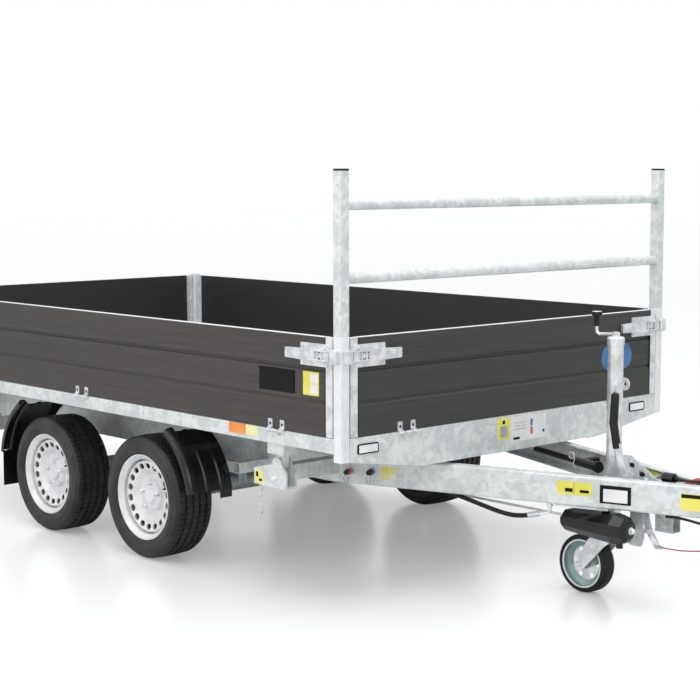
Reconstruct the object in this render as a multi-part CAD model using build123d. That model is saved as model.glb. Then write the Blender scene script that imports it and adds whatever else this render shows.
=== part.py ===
from build123d import *
import os
from math import atan2, cos, degrees, hypot, pi, radians, sin, sqrt, tan

# Tandem-axle three-way tipping trailer, standing level on its road wheels and its jockey wheel.
# +X points forward to the coupling, +Y to the left, +Z up; the ground is z = 0. Lengths in mm.

# Load bed
BED_L = 3340.0            # front face to rear face
BED_W = 1900.0            # right rail face to left rail face
RAIL_TOP = 664.0          # load floor above the ground
RAIL_H = 59.0             # outer edge rail
RAIL_FLANGE = 45.0
SHEET = 4.0               # folded edge steel
FLOOR_T = 3.0
FRONT_SILL_H = 144.0      # front cross-member at its middle
SILL_END_H = 88.0         # front cross-member where it meets the posts
SILL_STRAIGHT = 530.0     # half length of its deep middle
POST = 42.0               # corner post section
POST_WALL = 3.0
POST_FOOT = 28.0          # post below the rails
POST_TOP_OVER = 6.0       # post above the boards

# Boards
BOARD_H = 366.0
BOARD_T = 25.0
BOARD_LIFT = 2.0          # gap below a closed board
BOARD_END_GAP = 5.0
CAP_W = 38.0              # end cap of a board
CAP_PROUD = 1.0
RECESS = 3.0              # depth of the middle band
UPPER_BAND = 0.31
LOWER_BAND = 0.33
LEDGE_D = 7.0             # ledge and groove over the lower band
GROOVE_D = 9.0            # groove under the upper band
GROOVE_H = 14.0

# Board hinges
HINGE_OUT = 10.0          # pin axis outside the board's face
HINGE_DROP = 4.0          # pin axis below the rail top
HINGE_PIN_R = 4.0
KNUCKLE_R = 7.0
KNUCKLE_L = 40.0
LEAF_L = 24.0
HINGE_GAP = 2.0
LEAF_T = 3.5
LEAF_H = 34.0
HINGE_INSET = 360.0       # first hinge from the bed's end
FRONT_HINGE_Y = 620.0
FIT = 0.05                # radial clearance of pins that turn
SEAT = 0.3                # gap between parts that face each other

# Tailgate pins
TAIL_PIN_R = 8.0
TAIL_PIN_DROP = 18.0      # pin axis below the board's top

# Latches
LATCH_INSET = 70.0        # plate from the bed's end
LATCH_L = 148.0
LATCH_H = 84.0
LATCH_TOP_DROP = 25.0     # latch plate below the board's top
LATCH_PLATE_T = 4.0
LEVER_H = 38.0
LEVER_T = 18.0
LEVER_START = 60.0        # lever from the plate's end
LEVER_OVER = 75.0         # lever beyond the plate
EAR_INSIDE = 20.0         # latch ears from the middle
KEEPER_H = 54.0
KEEPER_T = 24.0

# Front rack
RACK_H = 603.0            # uprights above the posts
RACK_BAR_D = 40.0
RACK_BAR_DROPS = (129.0, 395.0)   # bars below the uprights' tops
RACK_CAP_T = 8.0

# Drawbar and side members
ARM_BOTTOM = 390.0
ARM_H = 114.0
ARM_FLANGE = 45.0
ARM_WALL = 5.0
ARM_BEND = 9.0
ARM_SPREAD = 373.0        # web face from the middle, below the bed's front
ARM_SLOPE = 0.340         # sideways run of an arm for each length forward
MITRE_BACK = 500.0        # where the arms meet the side members, behind the bed's front
ARM_TIP = 960.0           # front end of the arms
MEMBER_END_IN = 150.0     # side members end ahead of the bed's rear

# Tipping pivots
PIVOT_Z = 520.0
FRONT_PIVOT_BACK = 395.0
REAR_PIVOT_IN = 200.0
PIVOT_Y = 895.0
PIVOT_PIN_R = 12.0
CHEEK_R = 26.0
CHEEK_T = 8.0
TONGUE_W = 30.0
TONGUE_R = 22.0
PIVOT_GAP = 5.0
BEAM_H = 62.0
BEAM_W = 60.0
BEAM_BACK = 105.0         # front beam behind the pivot axis
CHEEK_FRONT = 55.0        # cheeks ahead of the pivot axis
BEAM_TOP_DROP = 28.0      # beam top below the pivot axis
BEAM_WALL = 4.0
SHOE_L = 94.0             # bed bracket above a pivot
SHOE_W = 66.0
SHOE_CLEAR = 40.0         # bracket's underside above the pivot axis

# Bed frame
STRINGER_Y = 355.0
STRINGER_W = 60.0
STRINGER_H = 60.0
JOIST_W = 50.0
JOIST_COUNT = 8
FRAME_WALL = 4.0
CROSS_H = 60.0            # cross-members of the chassis
REAR_CROSS_BACK = 520.0   # rear cross-member behind the rear axle

# Axles and wheels
FRONT_AXLE_BACK = 1288.0
AXLE_SPACING = 743.0
TYRE_R = 262.5
TYRE_W = 195.0
WHEEL_Y = 826.0
RIM_R = 182.0             # rim flange
RIM_SEAT_R = 165.0
RIM_WALL = 5.0
RIM_HALF_W = 85.0
DRUM_R = 125.0
SPINDLE_R = 17.5
AXLE_TUBE_R = 36.0
AXLE_LEAD = 145.0         # axle tube ahead of the wheel centre
AXLE_RISE = 38.0          # axle tube above the wheel centre
ARM_PLATE_T = 24.0
TYRE_CLEAR = 12.0
SLOTS = 18
SLOT_L = 30.0
SLOT_W = 24.0
SLOT_R = 131.0

# Mudguards
GUARD_R = 350.0           # inside of the panel, about the wheel
GUARD_T = 4.0
GUARD_OUT = 935.0
GUARD_IN = 705.0
GUARD_LIP = 22.0
GUARD_BEAD = 28.0         # rounded outer bead above the panel
GUARD_LOW_ANGLE = 10.0
GUARD_TOP_ANGLE = 58.0
FLAP_BOTTOM = 165.0
STAY = 45.0
STAY_WALL = 3.0

# Tipping cylinder
RAM_BACK = 1500.0         # behind the bed's front
RAM_PIVOT_Z = 430.0
RAM_TOP_Z = 548.0
RAM_BOTTOM_Z = 190.0
RAM_EYE_Z = 590.0
EYE_PIN_R = 10.0
EYE_DRIFT = 7.0           # room behind the rod's pin in the bed's ears
EAR_IN = 22.0
EAR_T = 10.0
EAR_DEPTH = 8.0           # ears below the pin's axis
RAM_R = 57.0
RAM_WALL = 8.0
STAGE_WALL = 6.8
STAGE_GAP = 0.3
STAGES = 4
TRUNNION_R = 16.0
TRUNNION_GAP = 16.0       # trunnion plates beside the foot tube
TRUNNION_PLATE = 20.0
CARRIER_GAP = 140.0

# Rear lamps
LAMP_BAR_Z = 335.0
LAMP_BAR_H = 70.0
LAMP_BAR_T = 40.0
LAMP_BAR_IN = 200.0
LAMP_L = 230.0
LAMP_H = 100.0
LAMP_T = 45.0
LAMP_CORNER = 12.0

# Overrun device and coupling
TUBE_R = 30.0
TUBE_Z = 447.0
HOUSING_BACK = 620.0
HOUSING_FRONT = 1120.0
HOUSING_H = 40.0          # half height of the housing
BELLOWS_L = 200.0
HEAD_L = 280.0            # coupling head ahead of the bellows
BALL_R = 25.0

# Jockey wheel
JACK_X = 470.0
JACK_Y = 30.0
JACK_R = 30.0
JACK_TOP = 985.0
JACK_BOTTOM = 330.0
JACK_CAP_H = 22.0
LUG_R = 24.0
LUG_Z = 831.0
LEG_R = 24.0
LEG_INSIDE = 270.0        # leg drawn into the tube
CASTER_TRAIL = 125.0
CASTER_R = 115.0
CASTER_W = 72.0
CASTER_RIM_R = 74.0
CASTER_PIN_R = 8.0
FORK_T = 5.0
FORK_GAP = 5.0
SWIVEL_Z = 262.0
SWIVEL_R = 9.0
CRANK_REACH = 92.0
CRANK_R = 6.0
CRANK_TOP = 1101.0
GRIP_R = 9.5
GRIP_L = 58.0

# Jack bracket, pump and brake parts on the drawbar
BRACKET_BACK = 400.0
BRACKET_FRONT = 600.0
BRACKET_T = 6.0
COLLAR_WALL = 8.0
COLLAR_H = 80.0
TANK_R = 59.0             # over the corners of its widest section
TANK_BACK = 390.0
TANK_FRONT = 705.0
TANK_Y = -165.0
TANK_Z = 325.0
PUMP_Y = 205.0
PUMP_Z = 462.0
PUMP_FRONT = 260.0
PUMP_L = 150.0
PUMP_R = 19.0
HANDLE_L = 340.0
HANDLE_R = 13.0
QUADRANT_Y = -50.0
QUADRANT_T = 6.0
RELAY_X = 715.0
RELAY_LOW = 243.0
HANGER_Y = -38.0
HANGER_LOW = 240.0
DAMPER_LOW = 300.0
BRAKE_ROD_R = 5.0
BRAKE_ROD_Y = -25.0
BRAKE_ROD_Z = 300.0

# Hose, pipe and cables; places ahead of the bed's front, across and up
BEND_SHARE = 0.45         # part of the shorter run that a bend takes
PIPE_R = 6.0
PIPE_Y = -470.0
PIPE_Z = 446.0
NUT_L = 16.0
HOSE_D = 18.0
ELBOW = (372.0, -225.0, 354.0)
FERRULE_END = (280.0, -240.0, 331.0)
FERRULE_L = 45.0
HOSE_FIRST_RUN = 40.0
HOSE_LAST_RUN = 70.0
HOSE_POINTS = (
    (164.0, -258.0, 323.0), (54.0, -272.0, 345.0), (-76.0, -300.0, 376.0), (-186.0, -350.0, 408.0),
    (-286.0, -415.0, 431.0),
)
BREAKAWAY_D = 5.0
CABLE_START = (735.0, -17.0, 246.0)
CABLE_END = (1385.0, -20.0, 394.0)
BREAKAWAY_POINTS = (
    (790.0, -17.0, 246.0), (858.0, -17.5, 253.0), (926.0, -18.0, 265.5), (994.0, -18.0, 281.5),
    (1062.0, -18.5, 299.5), (1130.0, -19.0, 319.5), (1198.0, -19.5, 342.0), (1266.0, -20.0, 367.0),
    (1334.0, -20.0, 394.0),
)
TRAILER_D = 10.0
TRAILER_POINTS = (
    (780.0, -50.0, 378.0), (850.0, -50.0, 378.0), (950.0, -56.0, 370.0), (1060.0, -66.0, 368.0),
    (1160.0, -74.0, 376.0), (1250.0, -78.0, 402.0), (1300.0, -76.0, 460.0), (1280.0, -70.0, 525.0),
    (1200.0, -54.0, 556.0), (1095.0, -36.0, 548.0), (985.0, -27.0, 530.0), (885.0, -24.0, 512.0),
    (805.0, -24.0, 512.0),
)
PLUG_R = 20.0
PLUG_L = 60.0

# Locking pins and the safety chain
LOCK_PINS = (             # place along the right arm from the bed's front, height
    (-423.0, 441.0), (-327.0, 448.0),
)
LOCK_R = 13.0
LINK_L = 30.0
LINK_W = 16.0
LINK_WIRE = 3.5
LINKS = 6

# Places that follow from the sizes above
REAR_PROUD = 12.0
HEAD_NOSE = HOUSING_FRONT + BELLOWS_L + HEAD_L
XF = (BED_L + REAR_PROUD - HEAD_NOSE) / 2.0        # bed's front face; x = 0 is mid-length
XR = XF - BED_L
HALF_W = BED_W / 2.0
BOARD_Z0 = RAIL_TOP + BOARD_LIFT
BOARD_Z1 = BOARD_Z0 + BOARD_H
POST_TOP = BOARD_Z1 + POST_TOP_OVER
RACK_TOP = POST_TOP + RACK_H
RAIL_BOTTOM = RAIL_TOP - RAIL_H
HINGE_Z = RAIL_TOP - HINGE_DROP
ARM_ANGLE = degrees(atan2(ARM_SLOPE, 1.0))
ARM_MID = ARM_BOTTOM + ARM_H / 2.0
MEMBER_Y = ARM_SPREAD + ARM_SLOPE * MITRE_BACK
BEAM_TOP = PIVOT_Z - BEAM_TOP_DROP
FRONT_PIVOT_X = XF - FRONT_PIVOT_BACK
FRONT_BEAM_X = FRONT_PIVOT_X - BEAM_BACK
REAR_PIVOT_X = XR + REAR_PIVOT_IN
AXLE_XS = (XF - FRONT_AXLE_BACK, XF - FRONT_AXLE_BACK - AXLE_SPACING)
TUBE_ZC = TYRE_R + AXLE_RISE
RAM_X = XF - RAM_BACK
SIDES = {"right": -1, "left": 1}
JACK_AX = XF + JACK_X
WHEEL_AX = JACK_AX - CASTER_TRAIL
HOUSING_IN = XF + HOUSING_BACK
HOUSING_OUT = XF + HOUSING_FRONT
NOSE = XF + HEAD_NOSE
BALL_X = NOSE - 50.0
BALL_Z = TUBE_Z - 17.0


def block(x0, x1, y0, y1, z0, z1):
    """A box between two corners."""
    size = Box(abs(x1 - x0), abs(y1 - y0), abs(z1 - z0))
    return Pos((x0 + x1) / 2, (y0 + y1) / 2, (z0 + z1) / 2) * size


def rod_y(radius, x, y0, y1, z):
    """A round bar along Y."""
    return Pos(x, (y0 + y1) / 2, z) * Rot(90, 0, 0) * Cylinder(radius, abs(y1 - y0))


def rod_x(radius, x0, x1, y, z):
    """A round bar along X."""
    return Pos((x0 + x1) / 2, y, z) * Rot(0, 90, 0) * Cylinder(radius, abs(x1 - x0))


def rod_z(radius, x, y, z0, z1):
    """A round bar along Z."""
    return Pos(x, y, (z0 + z1) / 2) * Cylinder(radius, abs(z1 - z0))


def across(points, y0, y1, corner=0.0):
    """An outline of x, z points pushed along Y, with rounded corners if a radius is given."""
    outline = make_face(Polyline(*points, close=True))
    if corner:
        outline = fillet(outline.vertices(), corner)
    face = Plane(origin=(0, y0, 0), x_dir=(1, 0, 0), z_dir=(0, -1, 0)) * outline
    return extrude(face, amount=abs(y1 - y0), dir=(0, 1 if y1 > y0 else -1, 0))


def along(points, x0, x1):
    """An outline of y, z points pushed along X."""
    face = Plane.YZ.offset(x0) * make_face(Polyline(*points, close=True))
    return extrude(face, amount=abs(x1 - x0), dir=(1 if x1 > x0 else -1, 0, 0))


def both_sides(shape):
    """A piece and its mirror image on the other side."""
    return [shape, mirror(shape, about=Plane.XZ)]


def channel(height, flange, wall, bend):
    """A folded channel section, web on x = 0, open towards +x, centred on y = 0."""
    outer = Rectangle(flange, height, align=(Align.MIN, Align.CENTER))
    outer = fillet(outer.vertices().group_by(Axis.X)[0], bend)
    inner = Pos(wall, 0) * Rectangle(flange, height - 2 * wall, align=(Align.MIN, Align.CENTER))
    inner = fillet(inner.vertices().group_by(Axis.X)[0], bend - wall)
    return outer - inner


def bent_rod(radius, bend, *points):
    """A round bar along points, every bend of one radius."""
    path = FilletPolyline(*points, radius=bend)
    section = Plane(origin=path @ 0, z_dir=path % 0) * Circle(radius)
    return sweep(section, path=path)


def cord(name, diameter, points):
    """A flexible line of straight runs and tangent bends; a bend takes its share of the shorter run."""
    places = [Vector(*point) for point in points]
    radii = []
    for before, here, after in zip(places, places[1:], places[2:]):
        half_turn = radians((here - before).get_angle(after - here)) / 2
        shorter = min((here - before).length, (after - here).length)
        radii.append(BEND_SHARE * shorter / tan(half_turn))
    path = FilletPolyline(*points, radius=radii)
    tube = sweep(Plane(origin=path @ 0, z_dir=path % 0) * Circle(diameter / 2), path=path)
    full = pi * (diameter / 2) ** 2 * path.length
    print(name, "length", round(path.length, 1), "least radius", round(min(radii), 1),
          "volume share", round(tube.volume / full, 4), "radii", [round(radius) for radius in radii])
    return tube


def save(node, *solids):
    """Write one piece, or like pieces of one body, to its file."""
    shape = solids[0] if len(solids) == 1 else Compound(children=list(solids))
    export_step(shape, os.path.join("parts", node + ".step"))


def chassis_beams():
    """Front and rear pivot beams with the cheeks that hold the tipping pivots."""
    beams = []
    low = BEAM_TOP - BEAM_H
    for x, middle_x in ((FRONT_PIVOT_X, FRONT_BEAM_X), (REAR_PIVOT_X, REAR_PIVOT_X)):
        half = PIVOT_Y - TONGUE_W / 2 - PIVOT_GAP
        beam = block(middle_x - BEAM_W / 2, middle_x + BEAM_W / 2, -half, half, low, BEAM_TOP)
        inside = BEAM_W / 2 - BEAM_WALL
        beam -= block(middle_x - inside, middle_x + inside, -half, half, low + BEAM_WALL, BEAM_TOP - BEAM_WALL)
        back = middle_x - BEAM_W / 2
        front = x + CHEEK_FRONT
        for side in SIDES.values():
            middle = side * PIVOT_Y
            gap = TONGUE_W / 2 + PIVOT_GAP
            for edge in (-1, 1):
                y0 = middle + edge * gap
                y1 = y0 + edge * CHEEK_T
                plate = [(back, low), (front, low), (front, PIVOT_Z - CHEEK_R), (front - CHEEK_R, PIVOT_Z),
                         (x - CHEEK_R, PIVOT_Z), (back, BEAM_TOP)]
                beam += across(plate, y0, y1) + rod_y(CHEEK_R, x, y0, y1, PIVOT_Z)
            y0, y1 = middle - gap - CHEEK_T, middle + gap + CHEEK_T
            beam += block(back, front, y0, y1, low, low + CHEEK_T)
            if x == REAR_PIVOT_X:
                beam += rod_y(PIVOT_PIN_R, x, y0, y1, PIVOT_Z)
        beams.append(beam)
    return beams


def beam_envelope(x):
    """The room that a pivot beam takes in the side members and arms."""
    return block(x - BEAM_W / 2, x + BEAM_W / 2, -HALF_W, HALF_W, BEAM_TOP - BEAM_H, BEAM_TOP)


def drawbar_arms():
    """Two folded channels that run together towards the coupling, webs outwards."""
    reach = (ARM_TIP + MITRE_BACK) * 1.4
    bar = extrude(Plane.YZ * channel(ARM_H, ARM_FLANGE, ARM_WALL, ARM_BEND), amount=reach, dir=(1, 0, 0))
    bar = Pos(-reach / 2, 0, 0) * bar
    arm = Pos(XF, -ARM_SPREAD, ARM_MID) * Rot(0, 0, ARM_ANGLE) * bar
    keep = block(XF - MITRE_BACK, XF + ARM_TIP, -HALF_W, -2.0, 0, RAIL_TOP)
    arm = (arm & keep) - beam_envelope(FRONT_BEAM_X)
    return both_sides(arm)


def side_members():
    """Two channels under the bed that carry the axles."""
    x0, x1 = XR + MEMBER_END_IN, XF - MITRE_BACK
    bar = extrude(Plane.YZ * channel(ARM_H, ARM_FLANGE, ARM_WALL, ARM_BEND), amount=x1 - x0, dir=(1, 0, 0))
    member = Pos(x0, -MEMBER_Y, ARM_MID) * bar - beam_envelope(REAR_PIVOT_X) - beam_envelope(FRONT_BEAM_X)
    return both_sides(member)


def cross_tube(x):
    """A square tube between the side members."""
    half = MEMBER_Y - ARM_WALL
    low, top = RAM_PIVOT_Z - CROSS_H / 2, RAM_PIVOT_Z + CROSS_H / 2
    tube = block(x, x + BEAM_W, -half, half, low, top)
    return tube - block(x + BEAM_WALL, x + BEAM_W - BEAM_WALL, -half, half, low + BEAM_WALL, top - BEAM_WALL)


def crossmembers():
    """Cross-members between the side members; two carry the tipping cylinder's trunnions."""
    carriers = cross_tube(RAM_X + CARRIER_GAP) + cross_tube(RAM_X - CARRIER_GAP - BEAM_W)
    low, top = RAM_PIVOT_Z - CROSS_H / 2, RAM_PIVOT_Z + CROSS_H / 2
    for side in SIDES.values():
        near = side * (RAM_R + TRUNNION_GAP)
        far = near + side * TRUNNION_PLATE
        plate = block(RAM_X - CARRIER_GAP, RAM_X + CARRIER_GAP, near, far, low, top)
        carriers += plate - rod_y(TRUNNION_R + FIT, RAM_X, near - side, far + side, RAM_PIVOT_Z)
    return [carriers, cross_tube(AXLE_XS[1] - REAR_CROSS_BACK)]


def axle(x):
    """Rubber-sprung axle: cross tube, mounts, trailing arms, brake plates and wheel spindles."""
    tube_x = x + AXLE_LEAD
    arm_in = WHEEL_Y - TYRE_W / 2 - TYRE_CLEAR - ARM_PLATE_T
    piece = rod_y(AXLE_TUBE_R, tube_x, -arm_in, arm_in, TUBE_ZC)
    for side in SIDES.values():
        y0 = side * arm_in
        y1 = side * (arm_in + ARM_PLATE_T)
        long_side = hypot(AXLE_LEAD, AXLE_RISE)
        link = Box(long_side, ARM_PLATE_T, 52)
        tilt = degrees(atan2(AXLE_RISE, AXLE_LEAD))
        link = Pos(x + AXLE_LEAD / 2, (y0 + y1) / 2, TYRE_R + AXLE_RISE / 2) * Rot(0, -tilt, 0) * link
        piece += link + rod_y(42, tube_x, y0, y1, TUBE_ZC) + rod_y(34, x, y0, y1, TYRE_R)
        spindle_out = side * (WHEEL_Y + 20)
        piece += rod_y(SPINDLE_R, x, y0, spindle_out, TYRE_R)
        plate_y = side * (WHEEL_Y - TYRE_W / 2 + 8)
        piece += rod_y(DRUM_R - 4, x, plate_y - side * 4, plate_y, TYRE_R)
        piece += rod_y(30, x, y1, plate_y, TYRE_R)
        seat_y = side * (MEMBER_Y - ARM_FLANGE / 2)
        mount = block(tube_x - 45, tube_x + 45, seat_y - 22, seat_y + 22, TUBE_ZC, ARM_BOTTOM)
        piece += mount
    return piece


def tyre_ring(radius, width, seat_r, flange_r, flange_in):
    """A tyre about the Y axis, seated between the flanges of its rim."""
    w = width / 2
    wall = radius - flange_r
    rows = (  # radius, half width
        (seat_r + SEAT, flange_in - 8.5), (flange_r + SEAT, flange_in - 1.0), (flange_r + 2.5, flange_in + 7.0),
        (flange_r + 0.40 * wall, w), (flange_r + 0.70 * wall, 0.97 * w), (flange_r + 0.92 * wall, 0.88 * w),
        (radius, 0.78 * w),
    )
    outline = [(r, -h) for r, h in rows] + [(r, h) for r, h in reversed(rows)]
    return revolve(Plane.XY * make_face(Polyline(*outline, close=True)), axis=Axis.Y, revolution_arc=360)


def road_wheel():
    """Pressed steel wheel of the left side, about its own axle: rim, dished disc, hub and brake drum."""
    hw = RIM_HALF_W
    bed = RIM_SEAT_R - RIM_WALL
    rows = [  # radius, offset towards the outside
        (RIM_R, hw), (RIM_R, hw - 6), (RIM_SEAT_R, hw - 14), (RIM_SEAT_R, -hw + 14), (RIM_R, -hw + 6),
        (RIM_R, -hw), (RIM_R - RIM_WALL, -hw), (bed, -hw + 16), (bed, 29), (152, 51), (146, 53), (112, 43),
        (90, 23), (64, 21), (0, 21), (0, 54), (28, 54), (32, 50), (33, 44), (58, 44), (61, 41), (64, 28),
        (90, 30), (112, 50), (146, 60), (152, 58), (bed, 36), (bed, hw - 16), (RIM_R - RIM_WALL, hw),
    ]
    wheel = revolve(Plane.XY * make_face(Polyline(*rows, close=True)), axis=Axis.Y, revolution_arc=360)
    inner = TYRE_CLEAR - TYRE_W / 2
    wheel += rod_y(DRUM_R - 16, 0, inner, 22.0, 0)
    return wheel - rod_y(SPINDLE_R + FIT, 0, inner - 1, 21.0, 0)


def disc_slots(wheel):
    """Oval slots around the disc's shoulder."""
    slot = Rot(90, 0, 0) * extrude(SlotOverall(SLOT_L, SLOT_W), amount=60, both=True)
    for turn in range(SLOTS):
        wheel -= Rot(0, turn * 360 / SLOTS, 0) * Pos(0, 34, SLOT_R) * slot
    return wheel


def guard_panel(start, end):
    """Moulded left guard about the wheel's axis, between two angles from +X towards +Z."""
    r, t = GUARD_R, GUARD_T
    bead = r + GUARD_BEAD
    rows = [  # radius, y of the outer skin from the inner flange to the outer lip
        (r - GUARD_LIP, GUARD_IN), (r + t, GUARD_IN), (r + t, 738), (r + 9, 744), (r + 9, 762), (r + t, 768),
        (r + t, 812), (r + 9, 818), (r + 9, 836), (r + t, 842), (r + t, 882), (r + 10, 889), (bead - 6, 893),
        (bead, 900), (bead + 1, 912), (bead - 2, 924), (bead - 9, 932), (bead - 20, GUARD_OUT),
        (r - 6, GUARD_OUT), (r - 6, GUARD_OUT - t), (bead - 21, GUARD_OUT - t), (bead - 12, 928),
        (bead - 6, 921), (bead - 3, 911), (bead - 4, 902), (bead - 9, 897), (r + 8, 893), (r, 885),
        (r, GUARD_IN + t), (r - GUARD_LIP, GUARD_IN + t),
    ]
    face = Plane.XY * make_face(Polyline(*rows, close=True))
    return Rot(0, -end, 0) * revolve(face, axis=Axis.Y, revolution_arc=end - start)


def mudguards():
    """Moulded quarter guards ahead of the front wheels and behind the rear wheels, these with a flap."""
    front = Pos(AXLE_XS[0], 0, TYRE_R) * guard_panel(GUARD_LOW_ANGLE, GUARD_TOP_ANGLE)
    toe = AXLE_XS[0] + GUARD_R * cos(radians(GUARD_LOW_ANGLE))
    toe_z = TYRE_R + GUARD_R * sin(radians(GUARD_LOW_ANGLE))
    front += block(toe - 2, toe + GUARD_T - 2, GUARD_IN, GUARD_IN + 60, toe_z - 34, toe_z + 6)
    rear = Pos(AXLE_XS[1], 0, TYRE_R) * guard_panel(180 - GUARD_TOP_ANGLE, 180 - GUARD_LOW_ANGLE)
    heel = AXLE_XS[1] - GUARD_R * cos(radians(GUARD_LOW_ANGLE))
    rear += block(heel - GUARD_T + 1, heel + 1, GUARD_IN + 6, GUARD_OUT - 6, FLAP_BOTTOM, toe_z + 6)
    return both_sides(front) + both_sides(rear)


def mudguard_stays():
    """Square tubes from the side members, each with a plate against its guard's inner flange."""
    stays = []
    inside = STAY / 2 - STAY_WALL
    z = ARM_BOTTOM + STAY / 2
    reach = sqrt((GUARD_R + 52) ** 2 - (z - TYRE_R) ** 2)
    out = GUARD_IN - SEAT
    for cx, way in ((AXLE_XS[0], 1), (AXLE_XS[1], -1)):
        x = cx + way * reach
        stay = block(x - STAY / 2, x + STAY / 2, MEMBER_Y, out, z - STAY / 2, z + STAY / 2)
        plate_end = x - way * (STAY / 2 + 52)
        stay += block(plate_end, x + way * STAY / 2, out - GUARD_T, out, z - STAY / 2, z + STAY / 2)
        stay -= block(x - inside, x + inside, MEMBER_Y - 1, out + 1, z - inside, z + inside)
        stays += both_sides(stay)
    return stays


def rear_lights():
    """The lamp bar on its two hangers, and the lamps."""
    x0 = XR + LAMP_BAR_IN
    low, top = LAMP_BAR_Z - LAMP_BAR_H / 2, LAMP_BAR_Z + LAMP_BAR_H / 2
    bar = block(x0, x0 + LAMP_BAR_T, -HALF_W + 30, HALF_W - 30, low, top)
    for side in SIDES.values():
        y = side * (MEMBER_Y - ARM_FLANGE / 2)
        bar += block(x0, x0 + LAMP_BAR_T, y - 20, y + 20, LAMP_BAR_Z, ARM_BOTTOM)
    y1 = HALF_W - 40
    lamp = block(x0 - LAMP_T, x0, -y1, -y1 + LAMP_L, LAMP_BAR_Z - LAMP_H / 2, LAMP_BAR_Z + LAMP_H / 2)
    lamp = fillet(lamp.edges().filter_by(Axis.X), LAMP_CORNER)
    return bar, both_sides(fillet(lamp.faces().sort_by(Axis.X)[0].edges(), LAMP_CORNER / 3))


def bed_frame():
    """Edge rails, front and rear sills, stringers, joists and the saddle for the cylinder's rod."""
    x0, x1 = XR + POST, XF - POST
    rail = extrude(Plane.YZ * channel(RAIL_H, RAIL_FLANGE, SHEET, SHEET * 1.6), amount=x1 - x0, dir=(1, 0, 0))
    frame = Pos(x0, -HALF_W, RAIL_TOP - RAIL_H / 2) * rail
    frame += mirror(frame, about=Plane.XZ)
    h = HALF_W - POST
    low = RAIL_TOP - FRONT_SILL_H
    face = [(-h, RAIL_TOP), (h, RAIL_TOP), (h, RAIL_TOP - SILL_END_H), (SILL_STRAIGHT, low),
            (-SILL_STRAIGHT, low), (-h, RAIL_TOP - SILL_END_H)]
    frame += along(face, XF - SHEET, XF)
    frame += block(XF - RAIL_FLANGE, XF, -h, h, RAIL_TOP - SHEET, RAIL_TOP)
    frame += block(XF - RAIL_FLANGE, XF, -SILL_STRAIGHT, SILL_STRAIGHT, low, low + SHEET)
    frame += block(XR, XR + SHEET, -h, h, RAIL_BOTTOM, RAIL_TOP)
    frame += block(XR, XR + RAIL_FLANGE, -h, h, RAIL_TOP - SHEET, RAIL_TOP)
    frame += block(XR, XR + RAIL_FLANGE, -h, h, RAIL_BOTTOM, RAIL_BOTTOM + SHEET)
    low = RAIL_BOTTOM - STRINGER_H
    for side in SIDES.values():
        y = side * STRINGER_Y
        tube = block(XR + SHEET, XF - SHEET, y - STRINGER_W / 2, y + STRINGER_W / 2, low, RAIL_BOTTOM)
        half = STRINGER_W / 2 - FRAME_WALL
        tube -= block(XR, XF - SHEET, y - half, y + half, low + FRAME_WALL, RAIL_BOTTOM - FRAME_WALL)
        frame += tube
    top = RAIL_TOP - FLOOR_T
    pitch = (BED_L - 2 * RAIL_FLANGE - JOIST_W) / (JOIST_COUNT - 1)
    inner = HALF_W - RAIL_FLANGE
    for place in range(JOIST_COUNT):
        x = XR + RAIL_FLANGE + place * pitch
        joist = block(x, x + JOIST_W, -inner, inner, RAIL_BOTTOM, top)
        joist -= block(x + FRAME_WALL, x + JOIST_W, -inner, inner, RAIL_BOTTOM + FRAME_WALL, top - FRAME_WALL)
        frame += joist
    inside = STRINGER_Y + STRINGER_W / 2
    seat = RAM_EYE_Z + 14 + PIVOT_GAP
    frame += block(RAM_X - 45, RAM_X + 45, -inside, inside, RAIL_BOTTOM + SHEET, top - SHEET)
    frame += block(RAM_X - 45, RAM_X + 45, STRINGER_Y - 20, inside, RAIL_BOTTOM, RAIL_BOTTOM + SHEET)
    frame += block(RAM_X - 45, RAM_X + 45, -inside, -STRINGER_Y + 20, RAIL_BOTTOM, RAIL_BOTTOM + SHEET)
    for side in (-1, 1):
        near, far = side * EAR_IN, side * (EAR_IN + EAR_T)
        ear = block(RAM_X - 28, RAM_X + 28, near, far, RAM_EYE_Z - EAR_DEPTH, max(seat, RAIL_BOTTOM + SHEET))
        slot = rod_y(EYE_PIN_R + SEAT, RAM_X, near - side, far + side, RAM_EYE_Z)
        slot += block(RAM_X - EYE_PIN_R - SEAT - EYE_DRIFT, RAM_X + EYE_PIN_R + SEAT, near - side, far + side,
                      RAM_EYE_Z - EAR_DEPTH - 1, RAM_EYE_Z)
        frame += ear - slot
    return frame


def bed_floor():
    """Steel floor sheet on the joists, between the flanges of the edge rails."""
    inner = HALF_W - RAIL_FLANGE - SEAT
    return block(XR + RAIL_FLANGE + SEAT, XF - RAIL_FLANGE - SEAT, -inner, inner, RAIL_TOP - FLOOR_T, RAIL_TOP)


def bed_pivots():
    """Brackets below the bed whose tongues sit in the chassis cheeks."""
    shoes = []
    for x in (FRONT_PIVOT_X, REAR_PIVOT_X):
        half = TONGUE_W / 2
        for side in SIDES.values():
            y = side * PIVOT_Y
            shoe = block(x - SHOE_L / 2, x + SHOE_L / 2, y - SHOE_W / 2, y + SHOE_W / 2,
                         PIVOT_Z + SHOE_CLEAR, RAIL_BOTTOM)
            shoe += block(x - TONGUE_R, x + TONGUE_R, y - half, y + half, PIVOT_Z, PIVOT_Z + SHOE_CLEAR)
            shoe += rod_y(TONGUE_R, x, y - half, y + half, PIVOT_Z)
            shoe -= rod_y(PIVOT_PIN_R + FIT, x, y - half - 1, y + half + 1, PIVOT_Z)
            shoes.append(shoe)
    return shoes


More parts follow.
